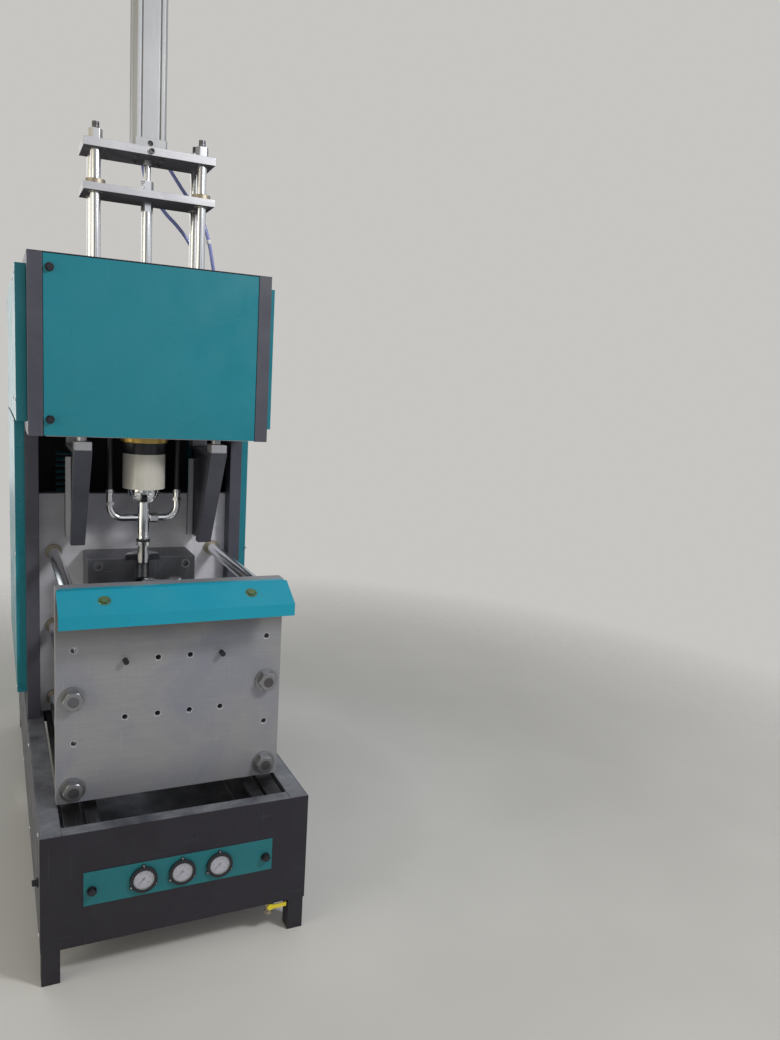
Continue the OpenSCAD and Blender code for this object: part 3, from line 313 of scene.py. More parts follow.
def paint(name, value, rough, drift=0.06, dust=0.14, rub=0.06, ash=DUST):
    """Sprayed paint: slow drift of colour, orange peel, dust on ledges and light rubs."""
    w = start_material(name)
    drifted = w.group("Colour Drift", Colour=rgba(value), Scale=2.2, Strength=drift)["Colour"]
    rubs = w.group("Fine Scratches", Scale=1.0, Share=rub)["Mask"]
    rubbed = w.mix(rubs, drifted, rgba(toned(value, 1.5, 0.10)))
    dusty_skin(w, rubbed, rough, 380.0, dust, ash, 0.25, 0.0004)


def moulded(name, value, rough, grain=0.2, drift=0.05, coat=0.0, dust=0.1):
    """Plastic or rubber: fine grain, slight change of shade and a little dust."""
    w = start_material(name)
    drifted = w.group("Colour Drift", Colour=rgba(value), Scale=20.0, Strength=drift)["Colour"]
    dusty_skin(w, drifted, rough, 1500.0, dust, DUST, grain, 0.0001)
    w.finish({"Coat Weight": coat})
    return w


def metal(name, value, rough, stroke=(8, 900, 900), lines=0.12, blotch=0.5, blot_scale=5.0, cut=0.15,
          tint=(0.30, 0.31, 0.37), wide=0.12, metallic=1.0):
    """Bare metal: tool lines along one way, oily blotches, a cool tint and fine scratches."""
    w = start_material(name)
    ground = w.group("Ground Lines", Stroke=stroke)
    oily = w.group("Oily Blotches", Scale=blot_scale)
    lined = w.lit(rgba(value), w.plus(w.times(ground["Shade"], lines), 1.0))
    share = w.times(oily["Mask"], blotch)
    scratches = w.group("Fine Scratches", Scale=1.3, Share=cut)["Mask"]
    worn = w.plus(w.times(oily["Tint"], wide), rough)
    w.finish({"Base Color": w.mix(scratches, w.mix(share, lined, rgba(tint)), (0.75, 0.75, 0.77, 1)),
              "Roughness": w.plus(worn, w.times(share, 0.12)), "Metallic": metallic})
    bump(w, ground["Height"], lines, 0.0002)
    return w


def darken_with_painted_shade(w, share, shade):
    """Mixes painted shade, a darker colour, into a finish where the share says."""
    clean = w.end["Base Color"].links[0].from_socket
    w.finish({"Base Color": w.mix(share, clean, rgba(shade))})


def build_materials():
    """Every finish of the machine, named for what it covers."""
    tone = bpy.context.scene.machine_colours
    ash = (0.33, 0.35, 0.38)
    paint("teal paint", tone.teal, 0.30)
    # Painted light: the canopy's teal is made brighter to stand for the light falling on it from above.
    paint("canopy paint", tone.hood, 0.32, dust=0.05, rub=0.03)
    # The brackets' strips: a pale finish, partly their own colour and partly painted light.
    paint("pale primer", (0.60, 0.62, 0.67), 0.45, dust=0.2)
    paint("teal edge", toned(tone.teal, 1.15, 0.02), 0.40, rub=0.4)
    # The gauge strip: its own greener teal, darkened by painted shade.
    paint("strip paint", tone.strip, 0.42)
    paint("frame paint", tone.grey, 0.42, drift=0.12, dust=0.6, rub=0.15, ash=ash)
    paint("frame edge", toned(tone.grey, 1.2, 0.03), 0.45, dust=0.3, rub=0.5, ash=ash)
    # The fascia's own dark paint; it also goes on the legs and inside the hood as painted shade.
    paint("fascia paint", tone.fascia, 0.46, drift=0.14, dust=0.12, rub=0.15, ash=ash)

    metal("ground steel", tone.steel, 0.40, stroke=(12, 700, 700), lines=0.10, blotch=0.6, blot_scale=4.2,
          tint=(0.27, 0.28, 0.34), metallic=0.45)
    metal("steel edge", toned(tone.steel, 1.3), 0.25, lines=0.05, blotch=0.15)
    metal("plate steel", toned(tone.steel, 1.7), 0.36, stroke=(14, 500, 500), blotch=0.35, metallic=0.6)
    metal("plate below", (0.055, 0.053, 0.058), 0.62, stroke=(14, 500, 500), blotch=0.3, metallic=0.3)
    metal("oily steel", (0.060, 0.060, 0.066), 0.36, stroke=(500, 14, 500), tint=(0.03, 0.03, 0.03))
    metal("mould steel", tone.dark_steel, 0.28, stroke=(600, 600, 14), lines=0.16, cut=0.25)
    metal("mould edge", toned(tone.dark_steel, 1.8), 0.25, lines=0.05, blotch=0.1)
    metal("hard chrome", tone.chrome, 0.09, stroke=(900, 900, 30), lines=0.05, blotch=0.12, wide=0.10, cut=0.2)
    metal("bright nut", (0.72, 0.72, 0.73), 0.22, stroke=(300, 300, 300), lines=0.06, blotch=0.3,
          blot_scale=30.0)
    metal("nut steel", tone.nut, 0.27, stroke=(300, 300, 300), lines=0.08, blotch=0.45, blot_scale=30.0)
    metal("stud steel", (0.15, 0.145, 0.145), 0.33, stroke=(300, 300, 300), lines=0.1)
    metal("turned bronze", tone.bronze, 0.30, stroke=(700, 30, 700), lines=0.10, blotch=0.35, blot_scale=25.0,
          tint=(0.22, 0.15, 0.08))
    metal("dull bronze", toned(tone.bronze, 0.5, 0.2), 0.38, stroke=(700, 700, 30), blotch=0.4,
          blot_scale=25.0, tint=(0.22, 0.19, 0.12))
    metal("zinc plate", tone.zinc, 0.30, stroke=(200, 200, 200), lines=0.08, blot_scale=60.0,
          tint=(0.10, 0.30, 0.06), metallic=0.75)
    metal("drawn alloy", tone.alloy, 0.42, stroke=(900, 900, 10), lines=0.08, blotch=0.15, cut=0.1,
          metallic=0.85)
    metal("golden flange", tone.gold, 0.32, stroke=(60, 60, 500), lines=0.08, blotch=0.4, blot_scale=22.0,
          tint=(0.36, 0.30, 0.12))

    # Painted shadow: a dark band under the canopy's lip, on the moving platen
    w = metal("platen steel", toned(tone.steel, 0.93), 0.40, stroke=(12, 700, 700), lines=0.07, blotch=0.7,
              blot_scale=4.2, cut=0.10, tint=(0.25, 0.26, 0.33), metallic=0.4)
    lip = span("canopy")[0].z * MM
    away = w.maths("ABSOLUTE", w.maths("SUBTRACT", w.axis_of(w.place(), "Z"), lip))
    darken_with_painted_shade(w, w.remap(away, 0.034, 0.080, 0.55, 0.0), (0.10, 0.09, 0.07))
    # Painted light and shade on the fixed platen: its finish is very pale, and painted shade darkens it left of its
    # right end and towards its top, leaving a painted pool of light on that end.
    w = metal("fixed plate", toned(tone.steel, 2.3), 0.36, stroke=(12, 700, 700), lines=0.08, blotch=0.5,
              blot_scale=7.0, tint=(0.50, 0.50, 0.62), metallic=0.2)
    place = w.add("ShaderNodeSeparateXYZ", {0: w.place()})
    darken_with_painted_shade(w, w.times(w.remap(place["X"], 0.12, 0.24, 0.5, 0.0), w.remap(place["Z"], 0.97, 1.05, 0.2, 1.0)),
          (0.13, 0.13, 0.16))

    moulded("cream tube", tone.tube, 0.34, grain=0.05, coat=0.35, dust=0.0)
    moulded("black plastic", tone.black, 0.34, coat=0.1)
    # Painted shade: the dial card is grey violet, darker than a white dial.
    moulded("dial card", tone.dial, 0.5, grain=0.05, dust=0.0)
    moulded("dial ink", (0.02, 0.02, 0.03), 0.5, grain=0.02, dust=0.0)
    moulded("yellow vinyl", tone.yellow, 0.33, coat=0.4, dust=0.25)
    moulded("rubber", tone.rubber, 0.52, grain=0.4)
    moulded("white nylon", (0.84, 0.85, 0.84), 0.4)
    moulded("blue hose", tone.hose, 0.22, coat=0.6, drift=0.18)
    glass = moulded("clear lens", tone.lens, 0.06, grain=0.0, drift=0.01, dust=0.0)
    glass.finish({"Alpha": 0.16, "IOR": 1.5})


# Meshes


class Form:
    """A mesh in the making, in millimetres: closed solids are added one after another."""

    def __init__(self):
        self.mesh = bmesh.new()

    def place(self, points, at, along):
        turn = AXES[along] if isinstance(along, str) else along
        return [self.mesh.verts.new(Vector(at) + turn @ Vector(point)) for point in points]

    def skin(self, rings, loop=False):
        """Faces between rings of as many vertices each, with flat ends unless the last ring joins the first."""
        count = len(rings[0])
        for low, high in list(zip(rings, rings[1:])) + [(rings[-1], rings[0])] * loop:
            for i in range(count):
                self.mesh.faces.new((low[i], low[(i + 1) % count], high[(i + 1) % count], high[i]))
        if not loop:
            for end in (rings[0], rings[-1]):
                self.mesh.faces.new(end)
        return self

    def lathe(self, outline, at=(0, 0, 0), along="Z", sides=32, ring=False):
        """Turned solid from (radius, height) pairs; a third value of True makes that ring six-sided."""
        rings = []
        for radius, height, *hexagon in outline:
            points = []
            for i in range(sides):
                angle = math.tau * i / sides
                reach = max(radius, 0.02)
                if hexagon:
                    reach /= math.cos((angle + math.pi / 6) % (math.pi / 3) - math.pi / 6)
                points.append((reach * math.cos(angle), reach * math.sin(angle), height))
            rings.append(self.place(points, at, along))
        return self.skin(rings, ring)

    def prism(self, outline, depth, at=(0, 0, 0), along="Z"):
        return self.skin([self.place([(*point, height) for point in outline], at, along) for height in (0, depth)])

    def to_mesh(self, name, material=None):
        bmesh.ops.remove_doubles(self.mesh, verts=self.mesh.verts, dist=0.001)
        bmesh.ops.recalc_face_normals(self.mesh, faces=self.mesh.faces)
        bmesh.ops.scale(self.mesh, vec=(MM, MM, MM), verts=self.mesh.verts)
        mesh = bpy.data.meshes.new(name)
        self.mesh.to_mesh(mesh)
        self.mesh.free()
        soften(mesh)
        if material:
            mesh.materials.append(bpy.data.materials[material])
        return mesh

    def put(self, name, material, body, slot, *parts):
        return seat(show(name, self.to_mesh(name, material)), body, slot, *parts)


def soften(mesh, degrees=32):
    """Smooth shading that stops at edges sharper than the given angle."""
    for polygon in mesh.polygons:
        polygon.use_smooth = True
    mesh.set_sharp_from_angle(angle=math.radians(degrees))


def show(name, data):
    piece = bpy.data.objects.new(name, data)
    bpy.context.scene.collection.objects.link(piece)
    return piece


def seat(piece, body, slot, *parts):
    """Makes a piece ride on its body in place of the parts named; its slot is not used."""
    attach(piece, body)
    if parts:
        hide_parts(*parts)
    return piece


def dress(part, material, bevel=0.0, edge=None, least=9.0):
    """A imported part's copy with its long edges broken and the edges in a finish of their own."""
    source = bmesh.new()
    source.from_mesh(PARTS[part].data)
    bmesh.ops.remove_doubles(source, verts=source.verts, dist=2e-6)
    bmesh.ops.dissolve_limit(source, angle_limit=math.radians(0.6), verts=source.verts, edges=source.edges)
    if bevel:
        edges = [line for line in source.edges if line.is_manifold and line.calc_length() > least * MM
                 and line.calc_face_angle() > math.radians(32)]
        bmesh.ops.bevel(source, geom=edges, offset=bevel, offset_type="OFFSET", segments=2, profile=0.5,
                        affect="EDGES", clamp_overlap=True, material=1 if edge else -1)
    mesh = bpy.data.meshes.new(part)
    source.to_mesh(mesh)
    source.free()
    if "custom_normal" in mesh.attributes:
        mesh.attributes.remove(mesh.attributes["custom_normal"])
    soften(mesh, 33)
    mesh.materials.clear()
    for name in (material, edge):
        if name:
            mesh.materials.append(bpy.data.materials[name])
    piece = show("worked_" + part, mesh)
    even = piece.modifiers.new("Even shading", "WEIGHTED_NORMAL")
    even.weight, even.keep_sharp = 90, True
    return seat(piece, BODY[part], FINISH[part], part)


def coat(material, *parts):
    """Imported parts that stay, with a finish of their own."""
    for part in parts:
        for slot in PARTS[part].material_slots:
            slot.material = bpy.data.materials[material]


def recolour(piece, material, where):
    """Another finish on the faces whose middle, in millimetres, and normal pass a test."""
    mesh = piece.data
    mesh.materials.append(bpy.data.materials[material])
    for face in mesh.polygons:
        if where(face.center / MM, face.normal):
            face.material_index = len(mesh.materials) - 1


# Geometry Nodes for what repeats or follows a path


def new_grower(name, **inputs):
    """A tree that makes a finished mesh from a seed mesh."""
    return new_tree(name, "GeometryNodeTree", {"Mesh": "Geometry", **inputs, "Finish": "Material"},
                    {"Mesh": "Geometry"})


def end_grower(w, given, mesh):
    real = w.add("GeometryNodeRealizeInstances", {"Geometry": mesh}, "Geometry")
    w.finish({"Mesh": w.add("GeometryNodeSetMaterial", {"Geometry": real, "Material": given["Finish"]}, "Geometry")})


def copies(w, points, shape, **more):
    return w.add("GeometryNodeInstanceOnPoints", {"Points": points, "Instance": shape, **more}, "Instances")


def seed_line(w, given):
    return w.add("GeometryNodeMeshToCurve", {"Mesh": given["Mesh"]}, "Curve")


def swept(w, line, sides, radius):
    """A tube round a curve."""
    profile = w.add("GeometryNodeCurvePrimitiveCircle", {"Resolution": sides, "Radius": radius}, "Curve")
    return w.add("GeometryNodeCurveToMesh", {"Curve": line, "Profile Curve": profile, "Fill Caps": True}, "Mesh")


def build_growers():
    """Trees that set copies on points, print a dial's scale, wind a thread, bend a pipe and lay a weld."""
    w, given = new_grower("Set Copies", Shape="Object")
    turns = w.add("GeometryNodeInputNamedAttribute", {"Name": "turn"}, data_type="FLOAT_VECTOR")
    turn = next(socket for socket in turns if socket.enabled and not socket.is_unavailable)
    shape = w.add("GeometryNodeObjectInfo", {"Object": given["Shape"]}, "Geometry")
    turned = w.add("FunctionNodeEulerToRotation", {"Euler": turn}, 0)
    end_grower(w, given, copies(w, given["Mesh"], shape, Rotation=turned))

    w, given = new_grower("Dial Scale", Marks=51, Sweep=4.712, Start=3.927, Reach=0.025,
                          Mark=(0.003, 0.0002, 0.0003), Centre=(0.0, 0.0, 0.0))
    line = w.add("GeometryNodeMeshLine", {"Count": given["Marks"], "Offset": (0, 0, 0)}, "Mesh")
    step = w.maths("DIVIDE", given["Sweep"], w.maths("SUBTRACT", given["Marks"], 1.0))
    angle = w.maths("SUBTRACT", given["Start"], w.times(w.add("GeometryNodeInputIndex", {}, 0), step))
    middle = w.maths("SUBTRACT", given["Reach"], w.times(w.axis_of(given["Mark"], "X"), 0.5))
    spot = w.vector(X=w.times(w.maths("COSINE", angle), middle), Z=w.times(w.maths("SINE", angle), middle))
    spread = w.add("GeometryNodeSetPosition", {"Geometry": line, "Position": spot}, "Geometry")
    lean = w.add("FunctionNodeEulerToRotation", {"Euler": w.vector(Y=w.times(angle, -1.0))}, 0)
    mark = w.add("GeometryNodeMeshCube", {"Size": given["Mark"]}, "Mesh")
    end_grower(w, given, w.add("GeometryNodeTransform", {"Geometry": copies(w, spread, mark, Rotation=lean),
                                                         "Translation": given["Centre"]}, "Geometry"))

    w, given = new_grower("Wound Thread", Radius=0.01, Pitch=0.0025, Turns=8.0)
    spiral = w.add("GeometryNodeCurveSpiral", {
        "Resolution": 20, "Rotations": given["Turns"], "Start Radius": given["Radius"], "End Radius": given["Radius"],
        "Height": w.times(given["Turns"], given["Pitch"])}, "Curve")
    end_grower(w, given, copies(w, given["Mesh"], swept(w, spiral, 4, w.times(given["Pitch"], 0.42))))

    w, given = new_grower("Bent Pipe", Radius=0.011, Bend=0.04)
    bent = w.add("GeometryNodeFilletCurve", {"Curve": seed_line(w, given), "Count": 12, "Radius": given["Bend"]},
                 "Curve", mode="POLY")
    end_grower(w, given, swept(w, bent, 28, given["Radius"]))

    w, given = new_grower("Weld Bead", Radius=0.003)
    close = w.add("GeometryNodeResampleCurve", {"Curve": seed_line(w, given), "Length": w.times(given["Radius"], 0.9)},
                  "Curve", mode="LENGTH")
    tangent = w.add("GeometryNodeInputTangent", {}, "Tangent")
    along = w.add("FunctionNodeAlignRotationToVector", {"Vector": tangent}, "Rotation", axis="Z")
    drop = w.add("GeometryNodeMeshIcoSphere", {"Radius": given["Radius"], "Subdivisions": 2}, "Mesh")
    random = w.add("FunctionNodeRandomValue", {2: 0.82, 3: 1.12, "Seed": 7}, 1, data_type="FLOAT")
    end_grower(w, given, copies(w, close, drop, Rotation=along, Scale=w.vector(X=random, Y=random, Z=0.55)))


def grow(name, tree_name, seed, material, body, slot, *parts, smooth=32, **inputs):
    """Runs a tree on a seed mesh, keeps the result as a plain mesh and seats it."""
    tree = bpy.data.node_groups[tree_name]
    inputs["Finish"] = bpy.data.materials[material]
    holder = show(name + "_seed", seed)
    modifier = holder.modifiers.new("Grow", "NODES")
    modifier.node_group = tree
    for item in tree.interface.items_tree:
        if item.item_type == "SOCKET" and item.in_out == "INPUT" and item.name in inputs:
            modifier[item.identifier] = inputs[item.name]
    graph = bpy.context.evaluated_depsgraph_get()
    mesh = bpy.data.meshes.new_from_object(holder.evaluated_get(graph), preserve_all_data_layers=True,
                                           depsgraph=graph)
    bpy.data.objects.remove(holder)
    if not mesh.polygons:
        raise RuntimeError(f"{name} came out empty")
    soften(mesh, smooth)
    mesh.name = name
    return seat(show(name, mesh), body, slot, *parts)


def points_mesh(name, places):
    """Points in millimetres, each with the way that its copy's top faces and a turn about it."""
    mesh = bpy.data.meshes.new(name)
    mesh.from_pydata([Vector(point) * MM for point, _, _ in places], [], [])
    turns = mesh.attributes.new("turn", "FLOAT_VECTOR", "POINT")
    for row, (_, facing, degrees) in zip(turns.data, places):
        turned = Vector(facing).to_track_quat("Z", "Y").to_matrix() @ Matrix.Rotation(math.radians(degrees), 3, "Z")
        row.vector = Vector(turned.to_euler())
    return mesh


def set_copies(name, shape, places, material, body, slot):
    """Copies of one small shape on many places, as one piece."""
    pattern = show(name + "_pattern", shape)
    grow(name, "Set Copies", points_mesh(name, places), material, body, slot, Shape=pattern)
    bpy.data.objects.remove(pattern)


def path_mesh(name, lines):
    """Lines of points in millimetres, joined by edges."""
    points = [point for line in lines for point in line]
    edges, start = [], 0
    for line in lines:
        edges += [(start + i, start + i + 1) for i in range(len(line) - 1)]
        start += len(line)
    mesh = bpy.data.meshes.new(name)
    mesh.from_pydata([Vector(point) * MM for point in points], edges, [])
    return mesh


# Screw heads with a six-sided socket: their sides, and their outlines as shares of the radius
PAN_HEAD = 12, [(0, 0.25), (0.24, 0.25, True), (0.26, 0.60, True), (0.5, 0.60), (0.86, 0.42), (1.0, 0.12), (1.0, 0),
                (0, 0)]
CAP_HEAD = 18, [(0, 0.35), (0.55, 0.35, True), (0.58, 1.1, True), (0.92, 1.1), (1.0, 1.0), (1.0, 0), (0, 0)]


def set_screws(name, head, radius, places, material="stud steel", body=FRAME):
    sides, outline = head
    shape = Form().lathe([(r * radius, h * radius, *six) for r, h, *six in outline], sides=sides).to_mesh("head")
    set_copies(name, shape, places, material, body, "zinc")


# Operators: the studio and the hoses first, then the groups of pieces


class Dresser:
    """What the machine's operators share."""

    bl_options = {"REGISTER", "UNDO"}

    def execute(self, context):
        self.make()
        return {"FINISHED"}


class MACHINE_OT_studio(Dresser, bpy.types.Operator):
    """Plain floor, soft lamps, pale world and the camera at the photograph's place"""

    bl_idname = "machine.studio"
    bl_label = "Studio"

    def make(self):
        scene = bpy.context.scene
        camera = show("camera", bpy.data.cameras.new("camera"))
        yaw, pitch, roll = (math.radians(angle) for angle in (25.85, 8.88, -3.33))
        ahead = Vector((math.sin(yaw) * math.cos(pitch), math.cos(yaw) * math.cos(pitch), -math.sin(pitch)))
        flat = Vector((math.cos(yaw), -math.sin(yaw), 0))
        below = ahead.cross(flat)
        right = math.cos(roll) * flat + math.sin(roll) * below
        down = math.cos(roll) * below - math.sin(roll) * flat
        camera.matrix_world = Matrix((right, -down, -ahead)).transposed().to_4x4()
        camera.location = (-0.44005, -2.92748, 1.54522)
        camera.data.lens = 28.762
        camera.data.clip_start = 0.05
        scene.camera = camera

        wide, thick, clear, gone = 9000, 40, 1.1, 3.9
        floor = Form().prism([(-wide, -wide), (wide, -wide), (wide, wide), (-wide, wide)], thick, (0, 0, -thick))
        w = start_material("studio floor")
        drift = w.group("Colour Drift", Colour=rgba(scene.machine_colours.floor), Scale=1.2, Strength=0.05)
        away = w.add("ShaderNodeVectorMath", {0: w.place()}, "Value", operation="LENGTH")
        w.finish({"Base Color": drift["Colour"], "Roughness": 0.7, "Alpha": w.remap(away, clear, gone, 1, 0)})
        show("floor", floor.to_mesh("floor", "studio floor"))

        warm, white = (1.0, 0.96, 0.82), (1.0, 1.0, 1.0)
        for name, place, width, power, target, shade in (
                ("key lamp", (2.0, -3.0, 3.3), 0.65, 68, (0, -0.5, 1.1), white),
                ("front lamp", (0.3, -3.6, 1.0), 1.2, 6, (0, -0.3, 1.0), white),
                ("fill lamp", (-3.6, -1.6, 1.6), 2.6, 41, (0, -0.2, 1.1), warm),
                ("window lamp", (-2.2, 4.2, 2.0), 3.0, 36, (-0.3, 0.3, 1.2), white)):
            lamp = bpy.data.lights.new(name, "AREA")
            lamp.color, lamp.shape, lamp.size, lamp.energy = shade, "SQUARE", width, power
            holder = show(name, lamp)
            holder.location = place
            holder.visible_camera = False
            holder.visible_glossy = name != "front lamp"
            holder.rotation_euler = (Vector(target) - Vector(place)).to_track_quat("-Z", "Y").to_euler()

        world = scene.world = bpy.data.worlds.new("pale world")
        world.use_nodes = True
        w = Wires(world.node_tree, world.node_tree.nodes["Background"])
        path = w.add("ShaderNodeLightPath", {})
        seen, mirrored = path["Is Camera Ray"], w.maths("MAXIMUM", path["Is Glossy Ray"], path["Is Transmission Ray"])
        way = w.add("ShaderNodeTexCoord", {}, "Generated")
        room = w.remap(w.noise(way, 1.9, 2.0), 0.38, 0.62, 0.20, 0.82)
        soft_light, backdrop = 0.36, 0.57
        tint = w.mix(w.remap(w.axis_of(way, "X"), -0.9, 0.0), (0.92, 0.84, 0.66, 1), (0.95, 0.97, 1.0, 1))
        w.finish({"Strength": w.remap(seen, 0, 1, w.remap(mirrored, 0, 1, soft_light, room), backdrop),
                  "Color": w.mix(seen, tint, (1.0, 0.985, 0.95, 1))})
        scene.view_settings.view_transform = "Standard"


def smooth_route(points, step=9.0):
    """Points close together on a smooth line through the given ones, in millimetres."""
    points = [Vector(point) for point in points]
    ends = [2 * points[0] - points[1], *points, 2 * points[-1] - points[-2]]
    route = []
    for a, b, c, d in zip(ends, ends[1:], ends[2:], ends[3:]):
        count = max(2, round((c - b).length / step))
        for i in range(count):
            t = i / count
            route.append(0.5 * (2 * b + (c - a) * t + (2 * a - 5 * b + 4 * c - d) * t * t
                                + (3 * b - a - 3 * c + d) * t ** 3))
    return [*route, points[-1]]


def hose(name, route, radius, material, body, slot, part, far_end, stiffness, lay, end):
    """A free hose as one open curve along its route."""
    curve = bpy.data.curves.new(name, "CURVE")
    curve.dimensions = "3D"
    curve.bevel_depth = radius
    curve.bevel_resolution = 5
    curve.use_fill_caps = True
    spline = curve.splines.new("POLY")
    spline.points.add(len(route) - 1)
    for point, place in zip(spline.points, route):
        point.co = (*(place * MM), 1)
    spline.use_smooth = True
    curve.materials.append(bpy.data.materials[material])
    piece = seat(show(name, curve), body, slot, part)
    real = sum((b - a).length for a, b in zip(route, route[1:])) * MM


class MACHINE_OT_hoses(Dresser, bpy.types.Operator):
    """Blue hoses of the stretch cylinder and black hoses of the nozzle, with their ends"""

    bl_idname = "machine.hoses"
    bl_label = "Hoses"

    def make(self):
        roof, (low_cap, high_cap) = span("hood_roof")[1].z, (corner.z for corner in span("stretch_caps"))
        axis = middle_y("stretch_barrel")
        elbow, out, back = 16.0, axis + 86, axis + 98
        rear, low, high = back + 8, low_cap + 15, high_cap - 15 - elbow
        right_x, left_x = 236, 192
        low_route = [(elbow + 0.1, out, low), (elbow + 8, out, low), (42, out + 2, low - 3), (64, out + 6, low - 14),
                     (84, back - 2, low - 31), (98, back, low - 49), (131, back, roof + 269), (164, back, roof + 230),
                     (194, back, roof + 185), (215, back, roof + 124), (228, back, roof + 60),
                     (right_x, back, roof + 12), (right_x, back, roof - 12)]
        high_route = [(0, out, high - 0.1), (0, out, high - 30), (0, out + 4, high - 106), (0, out + 12, high - 206),
                      (0, rear, high - 306), (0, rear, roof + 500), (0, rear, roof + 400), (3, rear, roof + 330),
                      (14, rear, roof + 286), (36, rear, roof + 245), (75, rear, roof + 197), (110, rear, roof + 165),
                      (143, rear, roof + 128), (170, rear, roof + 84), (186, rear, roof + 44),
                      (left_x, rear, roof + 8), (left_x, rear, roof - 12)]
        for name, union, x, y, route in (("air_hose_low", "roof_union_right", right_x, back, low_route),
                                         ("air_hose_high", "roof_union_left", left_x, rear, high_route)):
            end = Form()
            end.lathe([(6.2, 0), (9.2, 0, True), (9.6, 1, True), (9.6, 10, True), (9, 11), (7.4, 14), (6.2, 14)],
                      (x, y, roof), sides=24, ring=True)
            end.lathe([(6.2, -16), (8.6, -16), (9.6, -12, True), (9.6, -3, True), (9, -2, True), (6.2, -2)],
                      (x, y, roof), sides=24, ring=True)
            hose(name, smooth_route(route), sizes().hose, "blue hose", FRAME, "blue_tube", "air_hoses",
                 "fitting", "medium", "hanging", end.put(union, "white nylon", FRAME, "blue_tube"))
        joint = Vector(low_route[9])
        facing = (Vector((221, back, roof + 100)) - joint).to_track_quat("Z", "Y").to_matrix()
        collar = Form().lathe([(6.1, -6.5), (7.4, -6.5), (8.4, -5.5), (8.4, 5.5), (7.4, 6.5), (6.1, 6.5)], joint,
                              facing, ring=True)
        collar.put("hose_collar", "white nylon", FRAME, "blue_tube")

        foot, top = span("air_pipes")[1].z, span("head_plate")[1].z + 42
        for name, x in (("nozzle_hose_left", -PIPE_X), ("nozzle_hose_right", PIPE_X)):
            end = Form().lathe([(0, 0), (11.3, 0, True), (12, 1, True), (12, 11, True), (11, 12), (10.6, 13),
                                (11, 16), (10.6, 19), (11, 22), (11, 33), (9, 36), (0, 36)], (x, axis, top), sides=24)
            coupling = end.put(name + "_coupling", "turned bronze", NOZZLE, "bronze")
            route = [Vector((x, axis, foot + share * (top - foot) / 16)) for share in range(17)]
            hose(name, route, sizes().fat_hose, "rubber", NOZZLE, "black_hose", "nozzle_hoses",
                 "connector", "stiff", "taut", coupling)


class MACHINE_OT_frame(Dresser, bpy.types.Operator):
    """Square tubes, base sheets and brackets of the frame, with their welds"""

    bl_idname = "machine.frame"
    bl_label = "Frame"

    def make(self):
        tube, plate, sheet = sizes().tube_edge, sizes().plate_edge, sizes().sheet_edge
        leg_low, (_, front, rail) = span("base_fascia")[0].z, span("base_fascia")[1]
        face, platen_top = span("fixed_platen")[0].y, span("fixed_platen")[1].z
        low, high = span("gussets")
        strip_top, leg_back, rail_x = high.z - 49, front + 60, 291

        # Faces of the uprights near the front take the fascia's dark paint: painted shade on the legs under the fascia.
        recolour(dress("uprights", "frame paint", tube, "frame edge"), "fascia paint",
                 lambda middle, normal: middle.y < leg_back)
        dress("cross_rails", "frame paint", tube, "frame edge")
        # The rails' way bars take the near black steel.
        recolour(dress("side_rails", "frame paint", tube, "frame edge"), "oily steel",
                 lambda middle, normal: abs(middle.x) < rail_x and rail - 25 < middle.z < rail + 1)
        dress("clamp_barrel", "frame paint", plate, "frame edge")
        # The brackets' strips take the pale lit strip finish, which is partly painted light.
        recolour(dress("gussets", "frame paint", plate, "frame edge"), "pale primer",
                 lambda middle, normal: middle.y > face - 13 and middle.z < strip_top + 1)
        dress("base_fascia", "fascia paint", sheet, "frame edge")
        for part in ("base_side_panels", "hood_roof"):
            dress(part, "frame paint", sheet, "frame edge")

        # Beads: both edges and the foot of each bracket's strip, its web, a rail's end and a leg's top
        side, bracket_x, strip_half, web_half = span("uprights")[1].x, 200, 25, 7
        foot, strip = face - 120, face - 12
        lines = []
        for way in SIDES:
            middle = way * bracket_x
            for x in (middle - strip_half, middle + strip_half):
                lines.append([(x, face, low.z + 2), (x, face, platen_top - 3)])
            lines.append([(middle - 24, face, low.z), (middle + 24, face, low.z)])
            for x in (middle - web_half, middle + web_half):
                lines.append([(x, strip, low.z + 3), (x, strip, strip_top - 3)])
                lines.append([(x, foot, low.z + 3), (x, low.y + 40, high.z - 16)])
            inner = way * (side - 50)
            lines.append([(inner, front + 40, rail - 36), (inner, front + 40, rail - 1)])
            lines.append([(way * (side - reach), front + 44.5, leg_low + 41) for reach in (44, 4)])
        grow("weld_beads", "Weld Bead", path_mesh("weld_beads", lines), "frame edge", FRAME, "frame_paint",
             Radius=sizes().bead)


